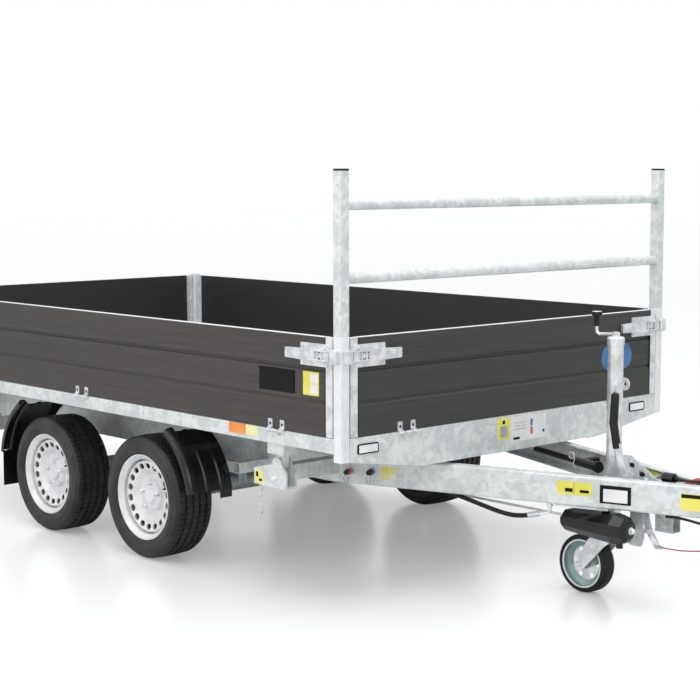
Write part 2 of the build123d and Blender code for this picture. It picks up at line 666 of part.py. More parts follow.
def square_post(x, y, z0, z1):
    """A square tube standing on end."""
    inside = POST - 2 * POST_WALL
    section = RectangleRounded(POST, POST, POST_WALL) - Rectangle(inside, inside)
    return Pos(x, y, z0) * extrude(section, amount=z1 - z0)


def corner_posts():
    """Four corner posts; the rear pair take the tailgate's top pins."""
    posts = []
    y = HALF_W - POST / 2
    for x, low in ((XF - POST / 2, RAIL_BOTTOM - POST_FOOT), (XR + POST / 2, RAIL_BOTTOM)):
        post = square_post(x, -y, low, POST_TOP)
        if x < 0:
            post -= rod_y(TAIL_PIN_R + FIT, XR + BOARD_T / 2, -HALF_W + POST / 2, -HALF_W + POST + 1,
                          BOARD_Z1 - TAIL_PIN_DROP)
        posts += both_sides(post)
    return posts


def front_rack():
    """Two uprights over the front corner posts with two round bars between them."""
    x = XF - POST / 2
    y = HALF_W - POST / 2
    rack = square_post(x, -y, POST_TOP, RACK_TOP - RACK_CAP_T)
    rack += mirror(rack, about=Plane.XZ)
    for drop in RACK_BAR_DROPS:
        rack += rod_y(RACK_BAR_D / 2, x, -y + POST / 2, y - POST / 2, RACK_TOP - drop)
    lid = RectangleRounded(POST, POST, POST_WALL)
    cap = Pos(x, -y, RACK_TOP - RACK_CAP_T) * extrude(lid, amount=RACK_CAP_T)
    return rack, both_sides(fillet(cap.edges().group_by(Axis.Z)[-1], 2))


def place_board(shape, side):
    """Move a piece from the board's own frame (x along, y outwards) to its side of the bed."""
    middle = (XF + XR) / 2
    places = {  # x, y, turn about Z
        "left": (middle, HALF_W, 0), "right": (middle, -HALF_W, 180), "front": (XF, 0, -90), "tail": (XR, 0, 90),
    }
    x, y, turn = places[side]
    return Pos(x, y, 0) * Rot(0, 0, turn) * shape


def board_half(side):
    """Half length of a board."""
    return (BED_L if side in SIDES else BED_W) / 2 - POST - BOARD_END_GAP


def board(side):
    """A hollow-section dropside: lower band with a ledge, recessed middle, deep groove and upper band."""
    z0, z1 = BOARD_Z0, BOARD_Z1
    lower = z0 + LOWER_BAND * BOARD_H
    upper = z1 - UPPER_BAND * BOARD_H
    outline = [  # outwards, up
        (-BOARD_T, z0), (0, z0), (0, lower - LEDGE_D), (-LEDGE_D, lower), (-LEDGE_D, lower + LEDGE_D),
        (-RECESS, lower + LEDGE_D + 2), (-RECESS, upper - GROOVE_H), (-GROOVE_D, upper - GROOVE_H + 2),
        (-GROOVE_D, upper), (-1, upper), (0, upper + 1), (0, z1 - 2), (-2, z1), (-BOARD_T + 2, z1),
        (-BOARD_T, z1 - 2),
    ]
    half = board_half(side) - CAP_W
    return place_board(along(outline, -half, half), side)


def hinge_places(side):
    """Hinge centres along a board."""
    if side == "front":
        return (-FRONT_HINGE_Y, FRONT_HINGE_Y)
    reach = BED_L / 2 - HINGE_INSET
    return (-reach, 0.0, reach)


def latch(end, way):
    """Over-centre latch on a board's face; way points away from the board's end."""
    top = BOARD_Z1 - LATCH_TOP_DROP
    mid = top - LATCH_H / 2
    x0 = end + way * (LATCH_INSET - POST - BOARD_END_GAP)
    x1 = x0 + way * LATCH_L
    plate = block(x0, x1, 0, LATCH_PLATE_T, top - LATCH_H, top)
    piece = fillet(plate.edges().filter_by(Axis.Y), 5)
    piece += block(end, x0 + way * 8, 0, LEVER_T, mid - LEVER_H / 2, mid + LEVER_H / 2)
    piece += block(x0, x0 + way * LEVER_START, LATCH_PLATE_T, LEVER_T - 6, mid - 9, mid + 9)
    for edge in (-1, 1):
        piece += block(x0 + way * 12, x0 + way * LEVER_START, LATCH_PLATE_T, LEVER_T,
                       mid + edge * EAR_INSIDE, mid + edge * (EAR_INSIDE + 5))
    for place in (22, 46):
        piece += rod_z(5, x0 + way * place, LEVER_T - 6, mid - EAR_INSIDE - 1, mid + EAR_INSIDE + 1)
    outer = x1 + way * LEVER_OVER
    root = x0 + way * (LEVER_START - 4)
    lever = [(root, mid - EAR_INSIDE - 4), (root, mid + EAR_INSIDE + 4), (outer, mid + LEVER_H / 2),
             (outer, mid - LEVER_H / 2)]
    return piece + across(lever, LATCH_PLATE_T, LATCH_PLATE_T + LEVER_T - 6, 4)


def board_fittings(side):
    """End caps with their latches, and the hinge leaves or top pins of a board."""
    half = board_half(side)
    pieces = []
    for way in (-1, 1):
        end = way * half
        cap = block(end, end - way * CAP_W, -BOARD_T - CAP_PROUD, 0, BOARD_Z0, BOARD_Z1)
        if side == "tail":
            pin_end = end + way * (BOARD_END_GAP + 20)
            cap += rod_x(TAIL_PIN_R, end, pin_end, -BOARD_T / 2, BOARD_Z1 - TAIL_PIN_DROP)
            x = way * FRONT_HINGE_Y
            catch = block(x - 24, x + 24, 0, REAR_PROUD, RAIL_TOP - 24, BOARD_Z0 + 64)
            pieces.append(fillet(catch.edges().filter_by(Axis.Y), 8))
        else:
            cap += latch(end, -way)
        pieces.append(cap)
    if side != "tail":
        for x in hinge_places(side):
            for way in (-1, 1):
                x0 = x + way * (KNUCKLE_L / 2 + HINGE_GAP)
                x1 = x0 + way * LEAF_L
                leaf = block(x0, x1, 0, LEAF_T, HINGE_Z + KNUCKLE_R + 2, HINGE_Z + LEAF_H + 8)
                leaf += block(x0, x1, 0, HINGE_OUT, HINGE_Z + KNUCKLE_R - 3, HINGE_Z + KNUCKLE_R + 4)
                leaf += rod_x(KNUCKLE_R, x0, x1, HINGE_OUT, HINGE_Z)
                leaf -= rod_x(HINGE_PIN_R + FIT, x0 - way, x1 + way, HINGE_OUT, HINGE_Z)
                pieces.append(leaf)
    return [place_board(piece, side) for piece in pieces]


def bed_hinges():
    """Fixed knuckles with their pins on the rails and the front sill."""
    pieces = []
    for side in ("right", "left", "front"):
        for x in hinge_places(side):
            half = KNUCKLE_L / 2
            pin = half + HINGE_GAP + LEAF_L
            eye = block(x - half, x + half, 0, HINGE_OUT, HINGE_Z - KNUCKLE_R - 10, HINGE_Z)
            eye += rod_x(KNUCKLE_R, x - half, x + half, HINGE_OUT, HINGE_Z)
            eye += rod_x(HINGE_PIN_R, x - pin, x + pin, HINGE_OUT, HINGE_Z)
            pieces.append(place_board(eye, side))
    return pieces


def latch_keepers():
    """Keepers on the corner posts for the latches' hooks."""
    pieces = []
    mid = BOARD_Z1 - LATCH_TOP_DROP - LATCH_H / 2
    for side in ("right", "left", "front"):
        half = board_half(side)
        for way in (-1, 1):
            x0 = way * (half + BOARD_END_GAP + 2)
            x1 = x0 + way * (POST - 6)
            keeper = block(x0, x1, 0, KEEPER_T, mid - KEEPER_H / 2, mid + KEEPER_H / 2)
            keeper = fillet(keeper.edges().filter_by(Axis.Y), 9)
            keeper = fillet(keeper.faces().sort_by(Axis.Y)[-1].edges(), 3)
            pieces.append(place_board(keeper, side))
    return pieces


def ram_body():
    """Foot tube of the telescopic cylinder with its trunnions."""
    body = rod_z(RAM_R, RAM_X, 0, RAM_BOTTOM_Z, RAM_TOP_Z)
    body -= rod_z(RAM_R - RAM_WALL, RAM_X, 0, RAM_BOTTOM_Z + 10, RAM_TOP_Z)
    for side in (-1, 1):
        body += rod_y(TRUNNION_R, RAM_X, side * (RAM_R - RAM_WALL / 2), side * (RAM_R + 36), RAM_PIVOT_Z)
    return body


def ram_stage(number):
    """One sliding tube of the cylinder; the last is solid and carries the rod's cross pin."""
    outer = RAM_R - RAM_WALL - STAGE_GAP - (number - 1) * (STAGE_WALL + STAGE_GAP)
    low = RAM_BOTTOM_Z + 10 + 4 * number
    top = RAM_TOP_Z + 4 * number
    stage = rod_z(outer, RAM_X, 0, low, top)
    if number < STAGES:
        return stage - rod_z(outer - STAGE_WALL, RAM_X, 0, low, top)
    stage += rod_z(13, RAM_X, 0, top, RAM_EYE_Z)
    pin_end = EAR_IN + EAR_T + 1
    stage += rod_y(EYE_PIN_R, RAM_X, -pin_end, pin_end, RAM_EYE_Z)
    return stage + rod_y(14, RAM_X, -16, 16, RAM_EYE_Z)


def overrun_housing():
    """Housing between the arms' ends for the sliding tube, with the lever's hanger and a damper guard."""
    def inner_web(x):
        return ARM_SPREAD - ARM_SLOPE * (x - XF) - ARM_WALL * 1.1
    x0 = HOUSING_IN
    x1 = XF + ARM_TIP
    low, top = TUBE_Z - HOUSING_H, TUBE_Z + HOUSING_H
    body = block(x0, HOUSING_OUT, -38, 38, low, top)
    for x in (x0, x0 + 150):
        y = inner_web(x + 10) - 2
        body += block(x, x + 10, -y, y, ARM_BOTTOM + ARM_WALL + 1, top)
    nose = block(x1, HOUSING_OUT - 40, -62, 62, ARM_BOTTOM + 2, ARM_BOTTOM + ARM_H - 2)
    body += fillet(nose.edges().filter_by(Axis.X), 14)
    lap = low + 2
    guard = [(0, lap), (0, DAMPER_LOW), (48, DAMPER_LOW), (48, lap), (44, lap), (44, DAMPER_LOW + 4),
             (4, DAMPER_LOW + 4), (4, lap)]
    body += along(guard, XF + RELAY_X - 25, XF + RELAY_X + 55)
    hanger = [(x0 - 14, low + 30), (x0 + 50, low + 30), (x0 + 44, 340), (x0 + 52, 280), (x0 + 40, HANGER_LOW),
              (x0 - 16, HANGER_LOW), (x0 - 26, 280), (x0 - 12, 340)]
    body += across(hanger, HANGER_Y - 6, HANGER_Y, 8)
    body += rod_y(11, x0 - 8, HANGER_Y - 16, HANGER_Y, 300)
    gland_x, y, z = TRAILER_POINTS[0]
    body += block(XF + gland_x - 10, XF + gland_x, y - 11, y + 11, z - 11, low + 2)
    return body - rod_x(TUBE_R + SEAT, x0 - 1, HOUSING_OUT + 1, 0, TUBE_Z)


def coupling_tube():
    """The sliding tube."""
    bar = rod_x(TUBE_R, HOUSING_IN - 20, HOUSING_OUT + BELLOWS_L + 60, 0, TUBE_Z)
    return bar - rod_x(TUBE_R - 6, HOUSING_IN - 20, HOUSING_OUT + BELLOWS_L + 60, 0, TUBE_Z)


def bellows():
    """Ribbed rubber gaiter over the sliding tube."""
    folds = 9
    pitch = BELLOWS_L / folds
    rows = [(HOUSING_OUT, TUBE_R + SEAT)]
    for fold in range(folds):
        x = HOUSING_OUT + fold * pitch
        rows += [(x, 36.0), (x + pitch / 2, 46.0)]
    rows += [(HOUSING_OUT + BELLOWS_L, 36.0), (HOUSING_OUT + BELLOWS_L, TUBE_R + SEAT)]
    face = make_face(Polyline(*rows, close=True))
    return Pos(0, 0, TUBE_Z) * revolve(Plane.XY * face, axis=Axis.X, revolution_arc=360)


def coupling_head():
    """Ball coupling: socket body on the tube, ball cup below, hand lever on top and the cable's lug."""
    x0 = HOUSING_OUT + BELLOWS_L
    low = BALL_Z - 17
    head = rod_x(TUBE_R + 9, x0, x0 + 70, 0, TUBE_Z)
    side_view = [(x0 + 40, TUBE_Z + 34), (BALL_X - 60, TUBE_Z + 40), (BALL_X + 10, TUBE_Z + 36),
                 (NOSE, TUBE_Z + 8), (NOSE, low), (BALL_X - 45, low), (x0 + 40, TUBE_Z - 34)]
    plan = [(x0 + 40, -34), (BALL_X - 40, -40), (NOSE - 22, -40), (NOSE, -22), (NOSE, 22), (NOSE - 22, 40),
            (BALL_X - 40, 40), (x0 + 40, 34)]
    body = across(side_view, -40, 40, 7)
    body &= extrude(Plane.XY.offset(low - 1) * make_face(Polyline(*plan, close=True)), amount=120)
    head += body
    head -= rod_x(TUBE_R + SEAT, x0 - 1, x0 + 61, 0, TUBE_Z)
    head -= rod_z(BALL_R + 0.2, BALL_X, 0, low - 1, BALL_Z)
    head -= Pos(BALL_X, 0, BALL_Z) * Sphere(BALL_R + 0.2)
    grip = [(BALL_X - 10, TUBE_Z + 30), (BALL_X + 10, TUBE_Z + 30), (BALL_X - 18, TUBE_Z + 78),
            (BALL_X - 130, TUBE_Z + 94), (BALL_X - 136, TUBE_Z + 80), (BALL_X - 38, TUBE_Z + 62)]
    head += across(grip, -16, 16, 4)
    lug_x, y, z = CABLE_END
    return head + block(XF + lug_x, XF + lug_x + 6, y - 9, y + 9, z - 9, BALL_Z)


def jack_tube():
    """Outer tube of the jockey wheel jack with its gear cap and the lug for the crank's hook."""
    tube = rod_z(JACK_R, JACK_AX, JACK_Y, JACK_BOTTOM, JACK_TOP)
    cap = rod_z(JACK_R + 3, JACK_AX, JACK_Y, JACK_TOP - 8, JACK_TOP + JACK_CAP_H)
    tube += fillet(cap.edges().group_by(Axis.Z)[-1], 6)
    lug_x = JACK_AX + JACK_R + LUG_R - 10
    lug = rod_y(LUG_R, lug_x, JACK_Y - 3, JACK_Y + 3, LUG_Z)
    lug += block(JACK_AX, lug_x, JACK_Y - 3, JACK_Y + 3, LUG_Z - LUG_R, LUG_Z + LUG_R)
    lug -= rod_y(LUG_R / 3, lug_x + 4, JACK_Y - 4, JACK_Y + 4, LUG_Z)
    return tube + lug - rod_z(LEG_R + SEAT, JACK_AX, JACK_Y, JACK_BOTTOM - 1, JACK_TOP - 40)


def jack_crank():
    """Bent crank rod with a socket on the spindle and an upright grip."""
    z0 = JACK_TOP + JACK_CAP_H
    x1 = JACK_AX - CRANK_REACH
    crank = block(JACK_AX - 12, JACK_AX + 12, JACK_Y - 12, JACK_Y + 12, z0, z0 + 18)
    crank = fillet(crank.edges().filter_by(Axis.Z), 4)
    elbow = (x1, JACK_Y, z0 + 5)
    crank += bent_rod(CRANK_R, 14, (JACK_AX, JACK_Y, z0 + 11), elbow, (x1, JACK_Y, CRANK_TOP - 10))
    grip = rod_z(GRIP_R, x1, JACK_Y, CRANK_TOP - GRIP_L, CRANK_TOP - 10)
    knob = rod_z(GRIP_R * 2, x1, JACK_Y, CRANK_TOP - 17, CRANK_TOP)
    return crank + grip + fillet(knob.edges(), 6)


def jack_leg():
    """Inner tube of the jack with the swivel pin at its foot."""
    leg = rod_z(LEG_R, JACK_AX, JACK_Y, SWIVEL_Z + 6, JACK_BOTTOM + LEG_INSIDE)
    leg += rod_z(LEG_R + 10, JACK_AX, JACK_Y, SWIVEL_Z, SWIVEL_Z + 8)
    return leg + rod_z(SWIVEL_R, JACK_AX, JACK_Y, SWIVEL_Z - 24, SWIVEL_Z)


def jack_bracket():
    """Plate under both arms with the collar that clamps the jack."""
    rows = [(BRACKET_BACK, 1), (BRACKET_FRONT, 1), (BRACKET_FRONT, -1), (BRACKET_BACK, -1)]
    outline = [(XF + x, way * (ARM_SPREAD - ARM_SLOPE * x)) for x, way in rows]
    face = Plane.XY.offset(ARM_BOTTOM - BRACKET_T) * make_face(Polyline(*outline, close=True))
    plate = extrude(face, amount=BRACKET_T)
    plate += rod_z(JACK_R + COLLAR_WALL, JACK_AX, JACK_Y, ARM_BOTTOM - BRACKET_T, ARM_BOTTOM + COLLAR_H)
    return plate - rod_z(JACK_R + SEAT, JACK_AX, JACK_Y, ARM_BOTTOM - 20, ARM_BOTTOM + COLLAR_H + 1)


def caster_fork():
    """Swivel head and two fork plates with the wheel pin."""
    half = CASTER_W / 2 + FORK_GAP
    top = SWIVEL_Z - 2
    fork = block(JACK_AX - 34, JACK_AX + 34, JACK_Y - half - FORK_T, JACK_Y + half + FORK_T, top - 8, top)
    fork = fillet(fork.edges().filter_by(Axis.Z), 12)
    rows = [(JACK_AX - 34, top), (JACK_AX + 34, top), (JACK_AX + 34, top - 24), (JACK_AX - 10, top - 62),
            (WHEEL_AX + 18, CASTER_R - 16), (WHEEL_AX - 20, CASTER_R + 10), (JACK_AX - 84, top - 40)]
    for side in (-1, 1):
        y0 = JACK_Y + side * half
        y1 = y0 + side * FORK_T
        fork += across(rows, y0, y1, 5) + rod_y(22, WHEEL_AX, y0, y1, CASTER_R)
        fork += rod_y(13, WHEEL_AX, y1, y1 + side * 7, CASTER_R)
    fork -= rod_z(SWIVEL_R + FIT, JACK_AX, JACK_Y, top - 9, top + 1)
    return fork + rod_y(CASTER_PIN_R, WHEEL_AX, JACK_Y - half - FORK_T, JACK_Y + half + FORK_T, CASTER_R)


def caster_wheel():
    """Pressed rim and solid tyre of the jockey wheel."""
    hw = CASTER_W / 2 - 4

    rim = revolve(Plane.XY * make_face(Polyline(
        (CASTER_PIN_R + FIT, -hw - 3), (20, -hw - 3), (20, -6), (CASTER_RIM_R - 6, -6), (CASTER_RIM_R - 6, -hw),
        (CASTER_RIM_R, -hw), (CASTER_RIM_R, hw), (CASTER_RIM_R - 6, hw), (CASTER_RIM_R - 6, -1), (20, -1),
        (20, hw + 3), (CASTER_PIN_R + FIT, hw + 3), close=True)), axis=Axis.Y, revolution_arc=360)
    for turn in range(5):
        rim -= Rot(0, turn * 72, 0) * Pos(0, -3, 44) * Rot(90, 0, 0) * Cylinder(8, 20)
    w = CASTER_W / 2
    tyre_rows = [(CASTER_RIM_R + SEAT, -hw), (CASTER_RIM_R + 14, -w), (CASTER_R - 14, -w + 1),
                 (CASTER_R - 4, -w + 10), (CASTER_R, -w + 22), (CASTER_R, w - 22), (CASTER_R - 4, w - 10),
                 (CASTER_R - 14, w - 1), (CASTER_RIM_R + 14, w), (CASTER_RIM_R + SEAT, hw)]
    ring = revolve(Plane.XY * make_face(Polyline(*tyre_rows, close=True)), axis=Axis.Y, revolution_arc=360)
    place = Pos(WHEEL_AX, JACK_Y, CASTER_R)
    return place * rim, place * ring


def pump_tank():
    """Oil tank of the hand pump below the right arm, eight-sided and tapered, with its saddle and outlet."""
    rows = (  # place along the tank from its back end, radius
        (0.0, 0.42), (0.06, 0.72), (0.80, 1.0), (0.95, 0.84), (1.0, 0.5),
    )
    length = TANK_FRONT - TANK_BACK
    rings = []
    for share, size in rows:
        place = (XF + TANK_BACK + share * length, TANK_Y, TANK_Z)
        plane = Plane(origin=place, x_dir=(0, 1, 0), z_dir=(1, 0, 0))
        rings.append(plane * RegularPolygon(TANK_R * size, 8, rotation=22.5))
    tank = loft(rings, ruled=True)
    tank += block(XF + TANK_BACK + 60, XF + BRACKET_FRONT - 10, TANK_Y - 25, TANK_Y + 25,
                  TANK_Z + TANK_R * 0.6, ARM_BOTTOM - BRACKET_T)
    return tank + rod_z(13, XF + TANK_FRONT - 50, TANK_Y, TANK_Z - TANK_R - 12, TANK_Z)


def pump_barrel():
    """Hand pump and its stowed handle tube beside the left arm."""
    front = XF + PUMP_FRONT
    pump = Rot(0, 90, 0) * Cylinder(PUMP_R, PUMP_L)
    pump += Pos(-PUMP_L / 2 - HANDLE_L / 2 + 10, 0, 0) * Rot(0, 90, 0) * Cylinder(HANDLE_R, HANDLE_L)
    pump += Pos(PUMP_L / 2, 0, 0) * Rot(0, 90, 0) * Cylinder(PUMP_R + 4, 18)
    pump = Pos(front - PUMP_L * 0.4, PUMP_Y, PUMP_Z) * Rot(0, 0, -ARM_ANGLE) * pump
    near = front - PUMP_L * 0.53
    web = ARM_SPREAD - ARM_SLOPE * (near - XF) - ARM_WALL / cos(radians(ARM_ANGLE)) - SEAT
    return pump + block(near - 30, near, PUMP_Y + 8, web, PUMP_Z - 12, PUMP_Z + 12)


def handbrake():
    """Ratchet quadrant on the housing and the hand lever beside it."""
    y0, y1 = QUADRANT_Y, QUADRANT_Y + QUADRANT_T
    base = TUBE_Z + HOUSING_H
    plate = [(XF + 578, base), (XF + 735, base), (XF + 735, base + 14), (XF + 612, base + 92),
             (XF + 578, base + 92)]
    quadrant = across(plate, y0, y1, 6)
    for x, z in ((XF + 614, base + 58), (XF + 663, base + 30)):
        hole = Rot(90, 0, 0) * extrude(SlotOverall(34, 20), amount=30, both=True)
        quadrant -= Pos(x, QUADRANT_Y, z) * Rot(0, 32, 0) * hole
    quadrant += block(XF + HOUSING_BACK, XF + 735, y0, -20, base, base + 6)
    quadrant += rod_y(9, XF + 594, y0 - 20, y1 + 4, base + 12)
    yl = y0 - SEAT
    bar = [(XF + 576, base - 8), (XF + 612, base - 8), (XF + 560, base + 140), (XF + 536, base + 140)]
    lever = across(bar, yl - 10, yl, 5) - rod_y(9 + FIT, XF + 594, yl - 11, yl + 1, base + 12)
    y = yl - 5
    grip = bent_rod(13, 90, (XF + 549, y, base + 122), (XF + 532, y, base + 205), (XF + 538, y, base + 312))
    return quadrant, lever + fillet(grip.edges().group_by(Axis.Z)[-1], 6)


def brake_linkage():
    """Curved relay lever below the housing, the rod back to the axles and its equaliser."""
    x = XF + RELAY_X
    top = TUBE_Z - HOUSING_H
    rows = [(x - 82, top), (x - 46, top), (x - 40, 350), (x - 24, 300), (x + 8, RELAY_LOW + 14),
            (x + 8, RELAY_LOW - 6), (x - 10, RELAY_LOW - 6), (x - 50, 296), (x - 72, 350)]
    y0, y1 = BRAKE_ROD_Y + 4, BRAKE_ROD_Y + 12
    lever = across(rows, y0, y1, 5)
    cable_x, y, z = CABLE_START
    lever += rod_x(7, x - 6, XF + cable_x, y, z)
    axle_front = AXLE_XS[0] + AXLE_LEAD + AXLE_TUBE_R
    rod = rod_x(BRAKE_ROD_R, axle_front + 20, x - 40, BRAKE_ROD_Y, BRAKE_ROD_Z)
    clevis = block(x - 66, x - 30, BRAKE_ROD_Y - 8, y0, BRAKE_ROD_Z - 8, BRAKE_ROD_Z + 8)
    bar = block(axle_front + 20, axle_front + 30, BRAKE_ROD_Y - 60, BRAKE_ROD_Y + 60, BRAKE_ROD_Z - 9,
                BRAKE_ROD_Z + 9)
    for edge in (-50, 50):
        bar += rod_x(BRAKE_ROD_R, axle_front + SEAT, axle_front + 22, BRAKE_ROD_Y + edge, BRAKE_ROD_Z)
    return lever + rod + clevis + bar


def ferrule_line():
    """Corner of the elbow, end of the hose's ferrule and the direction between them."""
    start = Vector(XF + ELBOW[0], ELBOW[1], ELBOW[2])
    end = Vector(XF + FERRULE_END[0], FERRULE_END[1], FERRULE_END[2])
    return start, end, (end - start).normalized()


def hose_route():
    """Points of the oil hose from the elbow's ferrule to the front pivot beam."""
    _, end, ahead = ferrule_line()
    nut = FRONT_BEAM_X + BEAM_W / 2 + NUT_L
    middle = [(XF + x, y, z) for x, y, z in HOSE_POINTS]
    first = [tuple(end), tuple(end + ahead * HOSE_FIRST_RUN)]
    return first + middle + [(nut + HOSE_LAST_RUN, PIPE_Y, PIPE_Z), (nut, PIPE_Y, PIPE_Z)]


def hydraulic_pipe():
    """Elbow and ferrule under the right arm, the nut on the front beam and the pipe along the right member."""
    start, end, ahead = ferrule_line()
    neck = end - ahead * FERRULE_L
    elbow = rod_z(11, start.X, start.Y, ARM_BOTTOM - 12, ARM_BOTTOM)
    elbow += bent_rod(PIPE_R, 14, (start.X, start.Y, ARM_BOTTOM - 2), tuple(start), tuple(neck + ahead * 4))
    elbow += extrude(Plane(origin=neck, z_dir=ahead) * Circle(HOSE_D / 2 + 2), amount=FERRULE_L)
    face = FRONT_BEAM_X + BEAM_W / 2
    nut = rod_x(HOSE_D / 2 + 4, face, face + NUT_L, PIPE_Y, PIPE_Z)
    back, front = RAM_X + CARRIER_GAP + BEAM_W, FRONT_BEAM_X - BEAM_W / 2
    pipe = rod_x(PIPE_R, back, front, PIPE_Y, PIPE_Z)
    for share in (0.25, 0.75):
        place = back + share * (front - back)
        pipe += block(place - 8, place + 8, -MEMBER_Y + ARM_WALL, PIPE_Y, PIPE_Z - 5, PIPE_Z + 5)
    return [elbow, nut, pipe]


def breakaway_route():
    """Points of the safety cable from the brake lever to the coupling head's lug."""
    rows = [CABLE_START] + list(BREAKAWAY_POINTS) + [CABLE_END]
    return [(XF + x, y, z) for x, y, z in rows]


def trailer_route():
    """Points of the electric cable from the bracket's gland to the parked plug."""
    return [(XF + x, y, z) for x, y, z in TRAILER_POINTS]


def trailer_plug():
    """Round plug in its parking socket on the housing."""
    x, y, z = TRAILER_POINTS[-1]
    end = XF + x
    plug = rod_x(PLUG_R, end - PLUG_L, end - 12, y, z)
    plug = fillet(plug.edges(), 3) + rod_x(TRAILER_D / 2 + 4, end - 14, end, y, z)
    return plug + block(end - 50, end - 26, y - 10, y + 10, TUBE_Z + HOUSING_H, z)


def lock_parts():
    """Two locking pins parked in the right arm's web and the safety chain on the right cheek."""
    pieces = []
    for x, z in LOCK_PINS:
        pin = rod_y(7, 0, -36, 0, 0) + Pos(0, -14, 0) * Sphere(LOCK_R) + rod_y(9, 0, -38, -26, 0)
        pin = pin & block(-LOCK_R, LOCK_R, -40, 0, -LOCK_R, LOCK_R)
        pieces.append(Pos(XF + x, -ARM_SPREAD + ARM_SLOPE * x, z) * Rot(0, 0, ARM_ANGLE) * pin)
    ring = SlotOverall(LINK_L, LINK_W) - SlotOverall(LINK_L - 2 * LINK_WIRE, LINK_W - 2 * LINK_WIRE)
    flat = extrude(ring, amount=LINK_WIRE / 2, both=True)
    pitch = LINK_L - 2 * LINK_WIRE - SEAT
    x = FRONT_BEAM_X - BEAM_W / 2 + 10
    top = BEAM_TOP - BEAM_H - LINK_L / 2 - 3
    for place in range(LINKS):
        link = Pos(x, -PIVOT_Y, top - place * pitch) * Rot(0, 0, 90 * (place % 2)) * Rot(0, 90, 0) * flat
        if place == 0:
            link += block(x - 5, x + 5, -PIVOT_Y - 5, -PIVOT_Y + 5, top + LINK_L / 2 - 2, BEAM_TOP - BEAM_H)
        pieces.append(link)
    return pieces


def save_all():
    """Write every piece."""
    os.makedirs("parts", exist_ok=True)
    save("pivot_beams", *chassis_beams())
    save("drawbar_arms", *drawbar_arms())
    save("side_members", *side_members())
    save("chassis_crossmembers", *crossmembers())
    save("axles", *[axle(x) for x in AXLE_XS])
    save("mudguards", *mudguards())
    save("mudguard_stays", *mudguard_stays())
    bar, lamps = rear_lights()
    save("lamp_bar", bar)
    save("tail_lamps", *lamps)
    save("overrun_housing", overrun_housing())
    save("hydraulic_pipe", *hydraulic_pipe())
    save("hydraulic_hose", cord("hydraulic_hose", HOSE_D, hose_route()))
    save("breakaway_cable", cord("breakaway_cable", BREAKAWAY_D, breakaway_route()))
    save("trailer_cable", cord("trailer_cable", TRAILER_D, trailer_route()))
    save("trailer_plug", trailer_plug())
    save("lock_parts", *lock_parts())
    save("coupling_tube", coupling_tube())
    save("bellows", bellows())
    save("coupling_head", coupling_head())
    save("jack_tube", jack_tube())
    save("jack_crank", jack_crank())
    save("jack_leg", jack_leg())
    save("jack_bracket", jack_bracket())
    save("pump_tank", pump_tank())
    save("pump_barrel", pump_barrel())
    quadrant, lever = handbrake()
    save("handbrake_quadrant", quadrant)
    save("handbrake_lever", lever)
    save("brake_linkage", brake_linkage())
    save("bed_frame", bed_frame())
    save("bed_floor", bed_floor())
    save("bed_pivots", *bed_pivots())
    save("corner_posts", *corner_posts())
    rack, caps = front_rack()
    save("front_rack", rack)
    save("rack_caps", *caps)
    save("bed_hinges", *bed_hinges())
    save("latch_keepers", *latch_keepers())
    for side in ("right", "left", "front", "tail"):
        save(f"board_{side}", board(side))
        save(f"fittings_{side}", *board_fittings(side))
    save("ram_body", ram_body())
    for number in range(1, STAGES + 1):
        save(f"ram_stage_{number}", ram_stage(number))
    save("caster_fork", caster_fork())
    rim, ring = caster_wheel()
    save("caster_rim", rim)
    save("caster_tyre", ring)
    ring = tyre_ring(TYRE_R, TYRE_W, RIM_SEAT_R, RIM_R, RIM_HALF_W - 6)
    right_wheel = disc_slots(road_wheel())
    wheels = {"left": right_wheel, "right": mirror(right_wheel, about=Plane.XZ)}
    for place, x in zip(("front", "rear"), AXLE_XS):
        for name, side in SIDES.items():
            at = Pos(x, side * WHEEL_Y, TYRE_R)
            save(f"tyre_{place}_{name}", at * ring)
            save(f"wheel_{place}_{name}", at * wheels[name])


save_all()
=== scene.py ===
"""Looks of a tandem-axle tipping trailer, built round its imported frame.

Lengths are metres in the trailer's own frame: +X forward to the coupling, +Y to the left,
+Z up, with the ground at zero.
"""

from __future__ import annotations

import logging
import math
from collections.abc import Iterable, Sequence
from dataclasses import dataclass, replace
from enum import Enum
from functools import cache

import bmesh
import bpy
from mathutils import Matrix, Vector


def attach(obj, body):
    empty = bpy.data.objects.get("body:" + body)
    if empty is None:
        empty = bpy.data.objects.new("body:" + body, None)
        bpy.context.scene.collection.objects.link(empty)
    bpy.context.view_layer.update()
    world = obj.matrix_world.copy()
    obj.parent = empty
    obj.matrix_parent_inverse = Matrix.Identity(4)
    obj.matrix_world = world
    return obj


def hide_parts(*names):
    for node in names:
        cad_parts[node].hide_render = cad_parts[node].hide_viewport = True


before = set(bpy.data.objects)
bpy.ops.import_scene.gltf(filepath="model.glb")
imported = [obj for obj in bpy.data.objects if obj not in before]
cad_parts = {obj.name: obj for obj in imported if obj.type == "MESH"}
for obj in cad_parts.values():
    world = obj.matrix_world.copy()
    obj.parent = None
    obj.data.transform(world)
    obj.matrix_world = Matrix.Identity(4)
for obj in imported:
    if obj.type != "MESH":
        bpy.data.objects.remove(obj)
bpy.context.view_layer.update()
LOG = logging.getLogger("trailer")

Point = tuple[float, float, float]
Flat = tuple[float, float]
Colour = tuple[float, float, float]
Socket = bpy.types.NodeSocket

